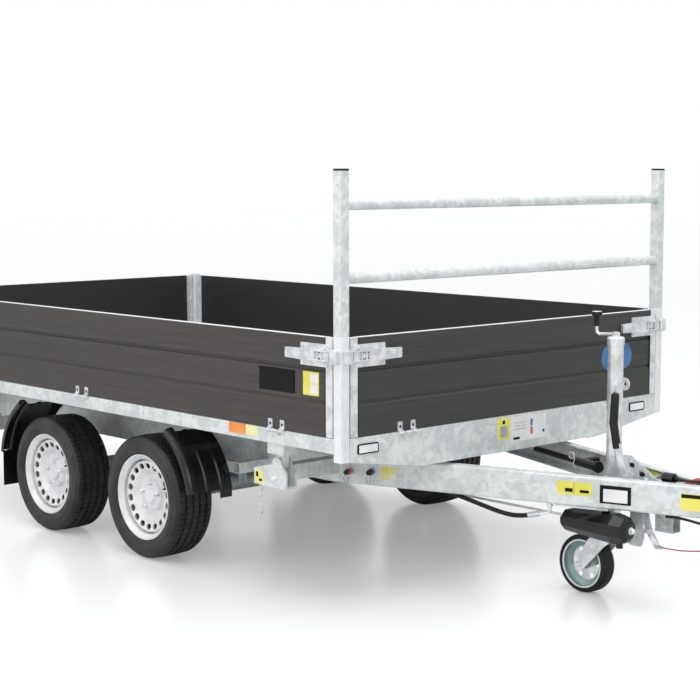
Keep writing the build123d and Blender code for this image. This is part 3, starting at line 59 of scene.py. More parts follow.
BED_FRONT = 0.876          # outer face of the front board
BED_REAR = -2.464          # outer face of the tail board
BED_SIDE = 0.950           # outer face of a side board
WHEEL_X = (-0.412, -1.155)
WHEEL_Y = 0.826
TYRE_R = 0.2625
ARM_OFFSET = 0.373         # drawbar arm's web from the middle, below the front board
ARM_SLOPE = 0.340          # how much an arm nears the middle for each metre forward
ARM_ANGLE = math.atan(ARM_SLOPE)
ARM_OUT: Point = (math.sin(ARM_ANGLE), -math.cos(ARM_ANGLE), 0.0)
FORWARD: Point = (1.0, 0.0, 0.0)
RIGHTWARD: Point = (0.0, -1.0, 0.0)
SIDES = (("right", -1.0), ("left", 1.0))


def on_arm(x: float, z: float) -> Point:
    """The point of the right drawbar arm's web at a place forward and up."""
    return (x, -ARM_OFFSET + ARM_SLOPE * (x - BED_FRONT), z)


def placed(name: str, data: bpy.types.ID) -> bpy.types.Object:
    """Make an object of some data in the scene."""
    made = bpy.data.objects.new(name, data)
    bpy.context.scene.collection.objects.link(made)
    return made


class Surface(Enum):
    """Ways in which a finish varies over a surface."""

    GALVANISED = "galvanised"
    GRAINED = "grained"
    BRUSHED = "brushed"
    PAINTED = "painted"
    MOULDED = "moulded"
    RUBBER = "rubber"


class Body(str, Enum):
    """Moving bodies that extra pieces ride on."""

    CHASSIS = "chassis"
    BED = "bed"
    RIGHT = "dropside_right"
    LEFT = "dropside_left"
    FRONT = "dropside_front"
    TAIL = "tailgate"
    FORK = "caster_swivel_head"
    ROLLER = "caster_roller"
    WHEEL_FRONT_LEFT = "road_wheel_front_left"
    WHEEL_FRONT_RIGHT = "road_wheel_front_right"
    WHEEL_REAR_LEFT = "road_wheel_rear_left"
    WHEEL_REAR_RIGHT = "road_wheel_rear_right"


class Graph:
    """A material's node tree with short calls for adding and linking nodes."""

    def __init__(self, name: str) -> None:
        """Start an empty material with its output node.

        Args:
            name: The material's name.
        """
        self.material = bpy.data.materials.new(name)
        self.material.use_nodes = True
        self.tree = self.material.node_tree
        self.tree.nodes.clear()
        self.shader = self.node("ShaderNodeBsdfPrincipled")
        self.output = self.node("ShaderNodeOutputMaterial")
        self.link(self.shader.outputs[0], self.output.inputs["Surface"])
        self.place = self.node("ShaderNodeTexCoord").outputs["Object"]

    def node(self, kind: str, **values: object) -> bpy.types.Node:
        """Add a node.

        Args:
            kind: The node's type name.
            values: Attributes to set on it.

        Returns:
            The new node.
        """
        made = self.tree.nodes.new(kind)
        for key, value in values.items():
            setattr(made, key, value)
        return made

    def link(self, source: Socket, target: Socket) -> None:
        """Link two sockets."""
        self.tree.links.new(source, target)

    def stretched(self, scale: Point) -> Socket:
        """Object coordinates, scaled.

        Args:
            scale: Factor for each axis.

        Returns:
            The mapped vector.
        """
        mapping = self.node("ShaderNodeMapping")
        mapping.inputs["Scale"].default_value = scale
        self.link(self.place, mapping.inputs["Vector"])
        return mapping.outputs[0]

    def noise(self, scale: float, detail: float = 4.0, stretch: Point = (1.0, 1.0, 1.0)) -> Socket:
        """Soft noise.

        Args:
            scale: Features for each metre, about.
            detail: Octaves.
            stretch: Factor for each axis before the noise.

        Returns:
            The noise value, about 0 to 1.
        """
        texture = self.node("ShaderNodeTexNoise")
        texture.inputs["Scale"].default_value = scale
        texture.inputs["Detail"].default_value = detail
        self.link(self.stretched(stretch), texture.inputs["Vector"])
        return texture.outputs["Fac"]

    def cells(self, scale: float) -> Socket:
        """Crystal cells with one random value each.

        Args:
            scale: Cells for each metre, about.

        Returns:
            A random value for each cell.
        """
        texture = self.node("ShaderNodeTexVoronoi")
        texture.inputs["Scale"].default_value = scale
        self.link(self.place, texture.inputs["Vector"])
        split = self.node("ShaderNodeSeparateColor")
        self.link(texture.outputs["Color"], split.inputs[0])
        return split.outputs[0]

    def spread(self, source: Socket, low: float, high: float,
               start: float = 0.3, end: float = 0.7) -> Socket:
        """Stretch a value's middle range to new limits.

        Args:
            source: The value.
            low: Result at or below start.
            high: Result at or above end.
            start: Value that gives low.
            end: Value that gives high.

        Returns:
            The new value.
        """
        mapping = self.node("ShaderNodeMapRange")
        for name, number in (("From Min", start), ("From Max", end), ("To Min", low), ("To Max", high)):
            mapping.inputs[name].default_value = number
        self.link(source, mapping.inputs["Value"])
        return mapping.outputs[0]

    def combine(self, first: Socket, second: Socket, share: float) -> Socket:
        """A weighted mean of two values.

        Args:
            first: One value.
            second: The other value.
            share: Weight of the second, 0 to 1.

        Returns:
            The mean.
        """
        mix = self.node("ShaderNodeMix")
        mix.inputs["Factor"].default_value = share
        self.link(first, mix.inputs[2])
        self.link(second, mix.inputs[3])
        return mix.outputs[0]

    def tint(self, source: Socket, dark: Colour, light: Colour) -> Socket:
        """A colour between two colours.

        Args:
            source: Value from 0 to 1.
            dark: Colour at 0.
            light: Colour at 1.

        Returns:
            The colour.
        """
        mix = self.node("ShaderNodeMix", data_type="RGBA")
        mix.inputs[6].default_value = (*dark, 1.0)
        mix.inputs[7].default_value = (*light, 1.0)
        self.link(source, mix.inputs[0])
        return mix.outputs[2]

    def outside(self, axis: int, limit: float, soft: float) -> Socket:
        """How far a point lies from the trailer's middle, past a limit on one axis.

        Args:
            axis: 0, 1 or 2 for X, Y or Z.
            limit: Distance at which the value starts to rise.
            soft: Distance over which it rises to 1.

        Returns:
            A value from 0 to 1.
        """
        split = self.node("ShaderNodeSeparateXYZ")
        self.link(self.place, split.inputs[0])
        size = self.node("ShaderNodeMath", operation="ABSOLUTE")
        self.link(split.outputs[axis], size.inputs[0])
        return self.spread(size.outputs[0], 0.0, 1.0, limit, limit + soft)

    def over(self, base: Socket, cover: Colour, share: Socket) -> Socket:
        """Lay a colour over another where a value says so.

        Args:
            base: The colour below, seen where share is 1.
            cover: The colour seen where share is 0.
            share: Value from 0 to 1.

        Returns:
            The colour.
        """
        mix = self.node("ShaderNodeMix", data_type="RGBA")
        mix.inputs[6].default_value = (*cover, 1.0)
        self.link(base, mix.inputs[7])
        self.link(share, mix.inputs[0])
        return mix.outputs[2]

    def bump(self, source: Socket, height: float) -> None:
        """Raise the surface's shading by a value.

        Args:
            source: Height from 0 to 1.
            height: Metres between 0 and 1.
        """
        node = self.node("ShaderNodeBump")
        node.inputs["Distance"].default_value = height
        node.inputs["Strength"].default_value = 1.0
        self.link(source, node.inputs["Height"])
        self.link(node.outputs[0], self.shader.inputs["Normal"])


MATERIALS: dict[str, bpy.types.Material] = {}     # finished materials by their finish's name


@dataclass(frozen=True)
class Finish:
    """A finish: two colours that a pattern moves between, how it shines, and an optional dark colour painted as
    shade on faces nearer the trailer's middle.
    """

    name: str
    surface: Surface
    dark: Colour
    light: Colour
    roughness: Flat
    metallic: float = 0.0
    scale: float = 60.0
    height: float = 0.00005
    stretch: Point = (1.0, 1.0, 1.0)
    coat: float = 0.0
    specular: float = 0.5
    # inner and the axis and limit after it paint shade: a dark colour on faces nearer the middle than the limit
    inner: Colour | None = None
    shade_axis: int = 1
    shade_limit: float = 0.0

    def material(self) -> bpy.types.Material:
        """The finish's material, made once.

        Returns:
            The material.
        """
        if self.name in MATERIALS:
            return MATERIALS[self.name]
        graph = Graph(self.name)
        MATERIALS[self.name] = graph.material
        graph.shader.inputs["Metallic"].default_value = self.metallic
        graph.shader.inputs["Coat Weight"].default_value = self.coat
        graph.shader.inputs["Coat Roughness"].default_value = 0.08
        graph.shader.inputs["Specular IOR Level"].default_value = self.specular
        broad, fine = self.pattern(graph)
        colour = graph.tint(graph.spread(broad, 0.0, 1.0, 0.41, 0.59), self.dark, self.light)
        # painted shade: faces nearer the middle than the limit take the dark inner colour
        if self.inner:
            colour = graph.over(colour, self.inner, graph.outside(self.shade_axis, self.shade_limit, 0.004))
        graph.link(colour, graph.shader.inputs["Base Color"])
        graph.link(graph.spread(fine, *self.roughness), graph.shader.inputs["Roughness"])
        graph.bump(fine, self.height)
        return graph.material

    def pattern(self, graph: Graph) -> tuple[Socket, Socket]:
        """The broad pattern for colour and the fine one for gloss and bump.

        Args:
            graph: The material's graph.

        Returns:
            The broad and the fine value.
        """
        if self.surface is Surface.GALVANISED:
            clouds = graph.noise(self.scale * 0.22, 7.0)
            fine = graph.noise(self.scale * 1.6, 3.0)
            flakes = graph.combine(clouds, graph.cells(self.scale), 0.22)
            return graph.combine(flakes, fine, 0.12), graph.combine(fine, clouds, 0.4)
        if self.surface is Surface.GRAINED:
            grain = graph.noise(self.scale, 5.0, self.stretch)
            streaks = graph.noise(self.scale * 0.22, 3.0, self.stretch)
            return graph.combine(streaks, grain, 0.70), grain
        if self.surface is Surface.BRUSHED:
            lines = graph.noise(self.scale, 2.0, self.stretch)
            return graph.combine(graph.noise(self.scale * 0.02, 3.0), lines, 0.5), lines
        if self.surface is Surface.RUBBER:
            return graph.noise(self.scale * 0.15, 5.0), graph.noise(self.scale * 6.0, 3.0)
        if self.surface is Surface.MOULDED:
            return graph.noise(self.scale * 0.2, 4.0), graph.noise(self.scale * 14.0, 2.0)
        return graph.noise(self.scale * 0.15, 4.0), graph.noise(self.scale * 8.0, 2.0)


GALVANISED = Finish("hot_dip_galvanised", Surface.GALVANISED, (0.60, 0.635, 0.635), (0.77, 0.795, 0.79),
                    (0.32, 0.54), 0.20, 55.0, 0.00008)
# A darker copy of the galvanising: painted shade on the axles under the bed, also the grey of print lines on
# stickers.
SHADED_GALVANISED_AND_GREY_PRINT = Finish("galvanised_shaded_and_grey_print", Surface.GALVANISED, (0.34, 0.37, 0.375), (0.52, 0.55, 0.555),
                         (0.42, 0.60), 0.30, 55.0, 0.00010)
# The boards' inner colour is painted shade on their faces inside the bed.
BOARD_LONG = Finish("anodised_board_long", Surface.GRAINED, (0.047, 0.042, 0.039), (0.068, 0.061, 0.057),
                    (0.42, 0.54), 0.15, 300.0, 0.00004, (0.015, 1.0, 1.0), 0.0, 0.4,
                    (0.022, 0.022, 0.022), 1, 0.9350)
BOARD_FRONT = replace(BOARD_LONG, name="anodised_board_front", dark=(0.035, 0.039, 0.035),
                      light=(0.050, 0.054, 0.049), stretch=(1.0, 0.015, 1.0), shade_axis=0, shade_limit=0.8560)
BOARD_TAIL = replace(BOARD_FRONT, name="anodised_board_tail", shade_limit=2.4440)
ALUMINIUM = Finish("natural_aluminium", Surface.BRUSHED, (0.79, 0.81, 0.82), (0.88, 0.89, 0.90),
                   (0.24, 0.38), 0.35, 700.0, 0.00002, (1.0, 1.0, 0.03))
ZINC = Finish("bright_zinc", Surface.PAINTED, (0.62, 0.64, 0.66), (0.82, 0.84, 0.85),
              (0.18, 0.34), 0.55, 180.0, 0.00003)
# The wheels' inner colour is painted shade on the inner side of the rim and dish.
SILVER = Finish("wheel_silver", Surface.PAINTED, (0.72, 0.73, 0.735), (0.82, 0.825, 0.83),
                (0.26, 0.36), 0.30, 90.0, 0.00002, coat=0.3, inner=(0.030, 0.029, 0.028), shade_limit=0.8475)
TYRE = Finish("tread_rubber", Surface.RUBBER, (0.013, 0.013, 0.013), (0.028, 0.028, 0.027),
              (0.40, 0.58), 0.0, 70.0, 0.00012, specular=0.40)
RUBBER = Finish("soft_black_rubber", Surface.RUBBER, (0.008, 0.008, 0.008), (0.018, 0.018, 0.018),
                (0.34, 0.50), 0.0, 90.0, 0.00005, specular=0.28)
GUARD = Finish("guard_plastic", Surface.MOULDED, (0.005, 0.005, 0.005), (0.012, 0.012, 0.012),
               (0.12, 0.22), 0.0, 60.0, 0.00003, specular=0.36)
ENAMEL = Finish("gloss_black", Surface.PAINTED, (0.005, 0.005, 0.006), (0.013, 0.013, 0.014),
                (0.06, 0.13), 0.0, 60.0, 0.00003, coat=0.1, specular=0.30)
CAST = Finish("zinc_casting", Surface.GALVANISED, (0.50, 0.53, 0.54), (0.70, 0.72, 0.73),
              (0.34, 0.54), 0.35, 70.0, 0.00012)
CHROME = Finish("hard_chrome", Surface.BRUSHED, (0.72, 0.73, 0.75), (0.82, 0.83, 0.85),
                (0.08, 0.16), 1.0, 600.0, 0.00001, (1.0, 1.0, 0.05))
CASTER = Finish("jockey_turquoise", Surface.PAINTED, (0.23, 0.34, 0.34), (0.33, 0.44, 0.43),
                (0.30, 0.42), 0.20, 90.0, 0.00004, coat=0.2)
LENS_RED = Finish("lamp_red", Surface.MOULDED, (0.42, 0.012, 0.010), (0.55, 0.020, 0.014),
                  (0.08, 0.16), 0.0, 40.0, 0.00003, coat=0.6)
LENS_AMBER = Finish("lamp_amber", Surface.MOULDED, (0.80, 0.23, 0.018), (0.92, 0.30, 0.03),
                    (0.12, 0.22), 0.0, 40.0, 0.00003, coat=0.6)
LENS_CLEAR = Finish("lamp_clear", Surface.MOULDED, (0.78, 0.79, 0.80), (0.90, 0.91, 0.92),
                    (0.06, 0.14), 0.0, 40.0, 0.00003, coat=0.6)
# Galvanised floor of the bed, darkened as painted shade inside the bed.
SHADED_FLOOR_SHEET = Finish("floor_sheet_painted_shade", Surface.GALVANISED, (0.30, 0.31, 0.32), (0.46, 0.47, 0.48),
                     (0.34, 0.50), 0.45, 40.0, 0.00010)
FILM_YELLOW = Finish("yellow_film", Surface.PAINTED, (0.78, 0.72, 0.10), (0.88, 0.83, 0.16),
                     (0.30, 0.40), 0.0, 50.0, 0.00002)
FILM_PALE = Finish("pale_yellow_film", Surface.PAINTED, (0.84, 0.76, 0.30), (0.92, 0.85, 0.40),
                   (0.30, 0.40), 0.0, 50.0, 0.00002)
FILM_WHITE = Finish("white_film", Surface.PAINTED, (0.80, 0.80, 0.80), (0.90, 0.90, 0.90),
                    (0.28, 0.38), 0.0, 50.0, 0.00002)
FILM_BLACK = Finish("black_film", Surface.PAINTED, (0.006, 0.006, 0.007), (0.012, 0.012, 0.013),
                    (0.22, 0.34), 0.0, 50.0, 0.00002, specular=0.12)
FILM_BLUE = Finish("blue_film", Surface.PAINTED, (0.030, 0.14, 0.34), (0.050, 0.19, 0.42),
                   (0.24, 0.34), 0.0, 50.0, 0.00002)
KNOB_RED = Finish("red_knob", Surface.MOULDED, (0.50, 0.012, 0.022), (0.66, 0.020, 0.030),
                  (0.14, 0.24), 0.0, 50.0, 0.00003, coat=0.5)
KNOB_BLUE = Finish("blue_knob", Surface.MOULDED, (0.014, 0.022, 0.13), (0.024, 0.036, 0.20),
                   (0.14, 0.24), 0.0, 50.0, 0.00003, coat=0.5)
RED_CABLE = Finish("red_sheath", Surface.RUBBER, (0.52, 0.035, 0.035), (0.68, 0.060, 0.055),
                   (0.34, 0.46), 0.0, 90.0, 0.00003)
RED_SLEEVE = Finish("orange_red_sleeve", Surface.RUBBER, (0.50, 0.060, 0.020), (0.64, 0.095, 0.035),
                    (0.36, 0.50), 0.0, 90.0, 0.00004)

# The finish of each CAD node.
NODE_FINISHES: dict[Finish, tuple[str, ...]] = {
    GALVANISED: ("bed_frame", "drawbar_arms", "side_members", "pivot_beams", "chassis_crossmembers",
                 "bed_pivots", "front_rack", "lamp_bar", "jack_bracket", "mudguard_stays"),
    # painted shade: the axles get the darker galvanising
    SHADED_GALVANISED_AND_GREY_PRINT: ("axles",),
    BOARD_LONG: ("board_right", "board_left"),
    BOARD_FRONT: ("board_front",),
    BOARD_TAIL: ("board_tail",),
    ALUMINIUM: ("corner_posts",),
    ZINC: ("fittings_right", "fittings_left", "fittings_front", "fittings_tail", "latch_keepers",
           "bed_hinges", "jack_leg", "jack_crank", "jack_tube", "caster_fork", "handbrake_lever",
           "brake_linkage", "hydraulic_pipe", "lock_parts"),
    SILVER: tuple(f"wheel_{place}_{side}" for place in ("front", "rear") for side in ("left", "right")),
    TYRE: tuple(f"tyre_{place}_{side}" for place in ("front", "rear") for side in ("left", "right")),
    RUBBER: ("bellows", "caster_tyre", "trailer_cable", "hydraulic_hose"),
    GUARD: ("mudguards", "rack_caps", "tail_lamps", "trailer_plug"),
    ENAMEL: ("pump_tank", "pump_barrel", "ram_body"),
    CAST: ("overrun_housing", "coupling_head", "handbrake_quadrant"),
    CHROME: ("coupling_tube", "ram_stage_1", "ram_stage_2", "ram_stage_3", "ram_stage_4"),
    CASTER: ("caster_rim",),
    RED_CABLE: ("breakaway_cable",),
    SHADED_FLOOR_SHEET: ("bed_floor",),
}


def dress_nodes() -> None:
    """Give every CAD node its finish."""
    for finish, names in NODE_FINISHES.items():
        for name in names:
            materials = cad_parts[name].data.materials
            materials.clear()
            materials.append(finish.material())
    bare = [name for name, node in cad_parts.items() if not any(node.data.materials[:])]
    LOG.info("nodes dressed: %d, left bare: %s", len(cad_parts), bare)


@dataclass
class Studio:
    """Camera, pale floor and soft light."""

    eye: Point = (5.237, -4.929, 1.632)
    yaw: float = 47.307
    pitch: float = -6.182
    roll: float = -0.0012
    lens: float = 84.98
    sensor: float = 36.0
    floor_size: float = 80.0
    floor_glow: float = 0.24
    ambient: float = 0.60

    def camera(self) -> None:
        """Place the camera where the photograph was taken."""
        data = bpy.data.cameras.new("camera")
        data.lens = self.lens
        data.sensor_width = self.sensor
        data.clip_end = 200.0
        yaw, pitch = math.radians(self.yaw), math.radians(self.pitch)
        ahead = Vector((-math.sin(yaw) * math.cos(pitch), math.cos(yaw) * math.cos(pitch), math.sin(pitch)))
        turn = ahead.to_track_quat("-Z", "Y") @ Matrix.Rotation(self.roll, 3, "Z").to_quaternion()
        camera = placed("camera", data)
        camera.matrix_world = Matrix.Translation(Vector(self.eye)) @ turn.to_matrix().to_4x4()
        bpy.context.scene.camera = camera

    def floor(self) -> None:
        """A plain pale floor that keeps the trailer's shadow and a faint reflection."""
        half = self.floor_size / 2.0
        mesh = bpy.data.meshes.new("studio_floor")
        corners = [(-half, -half, 0.0), (half, -half, 0.0), (half, half, 0.0), (-half, half, 0.0)]
        mesh.from_pydata(corners, [], [(0, 1, 2, 3)])
        floor = placed("studio_floor", mesh)
        graph = Graph("studio_floor")
        graph.shader.inputs["Base Color"].default_value = (0.80, 0.80, 0.79, 1.0)
        graph.shader.inputs["Roughness"].default_value = 0.22
        graph.shader.inputs["Specular IOR Level"].default_value = 0.40
        glow = graph.node("ShaderNodeEmission")
        path = graph.node("ShaderNodeLightPath")
        level = graph.node("ShaderNodeMath", operation="MULTIPLY")
        level.inputs[1].default_value = self.floor_glow
        both = graph.node("ShaderNodeAddShader")
        graph.link(path.outputs["Is Camera Ray"], level.inputs[0])
        graph.link(level.outputs[0], glow.inputs["Strength"])
        graph.link(graph.shader.outputs[0], both.inputs[0])
        graph.link(glow.outputs[0], both.inputs[1])
        graph.link(both.outputs[0], graph.output.inputs["Surface"])
        mesh.materials.append(graph.material)

    def lamp(self, name: str, place: Point, aim: Point, size: float, power: float) -> None:
        """Hang one soft lamp.

        Args:
            name: The lamp's name.
            place: Where it hangs.
            aim: The point it faces.
            size: Edge of its square panel.
            power: Watts.
        """
        data = bpy.data.lights.new(name, "AREA")
        data.shape = "SQUARE"
        data.size = size
        data.energy = power
        lamp = placed(name, data)
        turn = (Vector(aim) - Vector(place)).to_track_quat("-Z", "Y")
        lamp.matrix_world = Matrix.Translation(Vector(place)) @ turn.to_matrix().to_4x4()

    def world(self) -> None:
        """Pale surroundings, white where the camera or a gloss sees them."""
        world = bpy.data.worlds.new("studio")
        bpy.context.scene.world = world
        world.use_nodes = True
        tree = world.node_tree
        tree.nodes.clear()
        output = tree.nodes.new("ShaderNodeOutputWorld")
        mix = tree.nodes.new("ShaderNodeMixShader")
        soft = tree.nodes.new("ShaderNodeBackground")
        soft.inputs[0].default_value = (0.94, 0.97, 1.0, 1.0)
        soft.inputs[1].default_value = self.ambient
        white = tree.nodes.new("ShaderNodeBackground")
        white.inputs[0].default_value = (1.0, 1.0, 1.0, 1.0)
        white.inputs[1].default_value = 1.0
        path = tree.nodes.new("ShaderNodeLightPath")
        either = tree.nodes.new("ShaderNodeMath")
        either.operation = "MAXIMUM"
        tree.links.new(path.outputs["Is Camera Ray"], either.inputs[0])
        tree.links.new(path.outputs["Is Glossy Ray"], either.inputs[1])
        tree.links.new(either.outputs[0], mix.inputs[0])
        tree.links.new(soft.outputs[0], mix.inputs[1])
        tree.links.new(white.outputs[0], mix.inputs[2])
        tree.links.new(mix.outputs[0], output.inputs["Surface"])

    def build(self) -> None:
        """Set up the whole studio."""
        self.camera()
        self.floor()
        self.world()
        self.lamp("overhead", (1.0, -0.5, 6.0), (0.0, 0.0, 0.5), 7.0, 300.0)
        self.lamp("front_right", (5.5, -5.0, 3.8), (0.3, -0.2, 0.5), 4.0, 95.0)
        self.lamp("near_side", (-2.5, -6.5, 3.0), (-1.0, 0.0, 0.5), 4.0, 80.0)
        bpy.context.scene.view_settings.view_transform = "Standard"


class Shop:
    """Makes meshes and turns them into pieces that ride on a body."""

    @staticmethod
    def prism(outline: Sequence[Flat], low: float, high: float, axis: str = "y") -> bmesh.types.BMesh:
        """Push a flat outline along an axis.

        Args:
            outline: Points on the other two axes, in alphabetical order of those axes.
            low: Start along the axis.
            high: End along the axis.
            axis: The axis, x, y or z.

        Returns:
            The solid.
        """
        solid = bmesh.new()

        def at(point: Flat, depth: float) -> Point:
            """The point at a depth along the axis."""
            a, b = point
            return {"x": (depth, a, b), "y": (a, depth, b), "z": (a, b, depth)}[axis]

        rings = [[solid.verts.new(at(point, depth)) for point in outline] for depth in (low, high)]
        solid.faces.new(rings[0])
        solid.faces.new(list(reversed(rings[1])))
        count = len(outline)
        for place in range(count):
            after = (place + 1) % count
            solid.faces.new((rings[0][place], rings[1][place], rings[1][after], rings[0][after]))
        bmesh.ops.recalc_face_normals(solid, faces=solid.faces)
        return solid

    @staticmethod
    def box(low: Point, high: Point) -> bmesh.types.BMesh:
        """A box between two corners."""
        outline = [(low[0], low[2]), (high[0], low[2]), (high[0], high[2]), (low[0], high[2])]
        return Shop.prism(outline, low[1], high[1], "y")

    @staticmethod
    def rounded(width: float, height: float, corner: float, steps: int = 4) -> list[Flat]:
        """A rectangle about zero with round corners.

        Args:
            width: Its whole width.
            height: Its whole height.
            corner: Radius of a corner.
            steps: Facets of a corner.

        Returns:
            The outline, anticlockwise.
        """
        across, up = width / 2.0 - corner, height / 2.0 - corner
        outline = []
        for quarter, (sx, sz) in enumerate(((1, 1), (-1, 1), (-1, -1), (1, -1))):
            for step in range(steps + 1):
                angle = math.radians(90.0 * (quarter + step / steps))
                outline.append((sx * across + corner * math.cos(angle), sz * up + corner * math.sin(angle)))
        return outline

    @staticmethod
    def lathe(profile: Sequence[Flat], centre: Point, axis: str = "y", steps: int = 48) -> bmesh.types.BMesh:
        """Turn a closed profile about an axis.

        Args:
            profile: Points of radius and offset along the axis.
            centre: A point on the axis.
            axis: The axis, x, y or z.
            steps: Facets round the axis.

        Returns:
            The turned solid.
        """
        solid = bmesh.new()
        rings: list[list[bmesh.types.BMVert]] = []
        for radius, offset in profile:
            ring = []
            for step in range(steps):
                angle = math.tau * step / steps
                a, b = radius * math.cos(angle), radius * math.sin(angle)
                spot = {"x": (offset, a, b), "y": (a, offset, b), "z": (a, b, offset)}[axis]
                ring.append(solid.verts.new([spot[i] + centre[i] for i in range(3)]))
            rings.append(ring)
        for place, ring in enumerate(rings):
            other = rings[(place + 1) % len(rings)]
            for step in range(steps):
                after = (step + 1) % steps
                solid.faces.new((ring[step], ring[after], other[after], other[step]))
        bmesh.ops.remove_doubles(solid, verts=solid.verts, dist=1e-6)
        bmesh.ops.dissolve_degenerate(solid, dist=1e-7, edges=solid.edges)
        bmesh.ops.recalc_face_normals(solid, faces=solid.faces)
        return solid

    @staticmethod
    def tube(points: Sequence[Point], radii: Sequence[float], steps: int = 16) -> bmesh.types.BMesh:
        """A closed round bar along points, with a radius at each.

        Args:
            points: Its centre line.
            radii: One radius for each point.
            steps: Facets round it.

        Returns:
            The bar.
        """
        solid = bmesh.new()
        line = [Vector(point) for point in points]
        side = (line[1] - line[0]).orthogonal().normalized()
        rings = []
        for place, spot in enumerate(line):
            ahead = (line[min(place + 1, len(line) - 1)] - line[max(place - 1, 0)]).normalized()
            side = (side - ahead * side.dot(ahead)).normalized()
            other = ahead.cross(side)
            turns = [math.tau * step / steps for step in range(steps)]
            rings.append([solid.verts.new(spot + radii[place] * (side * math.cos(a) + other * math.sin(a)))
                          for a in turns])
        for first, second in zip(rings, rings[1:]):
            for step in range(steps):
                after = (step + 1) % steps
                solid.faces.new((first[step], first[after], second[after], second[step]))
        solid.faces.new(rings[0])
        solid.faces.new(list(reversed(rings[-1])))
        bmesh.ops.recalc_face_normals(solid, faces=solid.faces)
        return solid

    @staticmethod
    def join(solids: Iterable[bmesh.types.BMesh]) -> bmesh.types.BMesh:
        """Put several solids into one mesh."""
        whole = bmesh.new()
        for solid in solids:
            part = bpy.data.meshes.new("part")
            solid.to_mesh(part)
            solid.free()
            whole.from_mesh(part)
            bpy.data.meshes.remove(part)
        return whole

    @staticmethod
    def moved(solid: bmesh.types.BMesh, matrix: Matrix) -> bmesh.types.BMesh:
        """Move a solid by a matrix and return it."""
        bmesh.ops.transform(solid, matrix=matrix, verts=solid.verts)
        if matrix.determinant() < 0:
            bmesh.ops.reverse_faces(solid, faces=solid.faces)
        return solid

    @staticmethod
    def facing(place: Point, normal: Point) -> Matrix:
        """A frame on a face, with X to the right, Y up and Z out of it.

        Args:
            place: Its origin.
            normal: The outward direction, which isn't straight up.

        Returns:
            The frame's matrix.
        """
        out = Vector(normal).normalized()
        right = Vector((0.0, 0.0, 1.0)).cross(out).normalized()
        turn = Matrix((right, out.cross(right), out)).transposed()
        return Matrix.Translation(Vector(place)) @ turn.to_4x4()

    @staticmethod
    def seat(node: str, near: Point, normal: Point) -> Point:
        """The point of a CAD node's face that lies behind a point.

        Args:
            node: The node.
            near: A point on or near the face.
            normal: The face's outward direction.

        Returns:
            The point on the face.
        """
        out = Vector(normal).normalized()
        found, place, _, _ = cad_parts[node].ray_cast(Vector(near) + out * 0.08, -out, distance=0.25)
        if not found:
            LOG.warning("nothing of %s behind %s", node, near)
        return tuple(place) if found else near

    @staticmethod
    def piece(name: str, solid: bmesh.types.BMesh, finish: Finish, body: Body,
              bevel: float = 0.0, segments: int = 2) -> bpy.types.Object:
        """Make a finished piece that rides on a body.

        Args:
            name: The piece's name.
            solid: Its mesh, which is used up.
            finish: Its finish.
            body: The body it rides on.
            bevel: Width of its rounded edges.
            segments: Facets across a rounded edge.

        Returns:
            The piece.
        """
        mesh = bpy.data.meshes.new(name)
        solid.to_mesh(mesh)
        solid.free()
        mesh.materials.append(finish.material())
        made = placed(name, mesh)
        if bevel > 0.0:
            rounding = made.modifiers.new("rounding", "BEVEL")
            rounding.width = bevel
            rounding.segments = segments
            rounding.limit_method = "ANGLE"
            rounding.angle_limit = math.radians(35.0)
        Shop.smooth(mesh)
        Shop.mount(made, finish, body)
        LOG.info("piece %s on %s: %d faces", name, body.value, len(mesh.polygons))
        return made

    @staticmethod
    def mount(made: bpy.types.Object, finish: Finish, body: Body) -> None:
        """Let a piece ride on its body."""
        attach(made, body.value)

    @staticmethod
    def outward(mesh: bpy.types.Mesh) -> None:
        """Turn a mesh's faces outward."""
        work = bmesh.new()
        work.from_mesh(mesh)
        bmesh.ops.recalc_face_normals(work, faces=work.faces)
        work.to_mesh(mesh)
        work.free()

    @staticmethod
    def smooth(mesh: bpy.types.Mesh, angle: float = 32.0) -> None:
        """Shade a mesh smooth, with sharp edges past an angle.

        Args:
            mesh: The mesh.
            angle: Degrees between faces past which an edge stays sharp.
        """
        work = bmesh.new()
        work.from_mesh(mesh)
        limit = math.radians(angle)
        for edge in work.edges:
            edge.smooth = len(edge.link_faces) == 2 and edge.calc_face_angle(0.0) < limit
        for face in work.faces:
            face.smooth = True
        work.to_mesh(mesh)
        work.free()


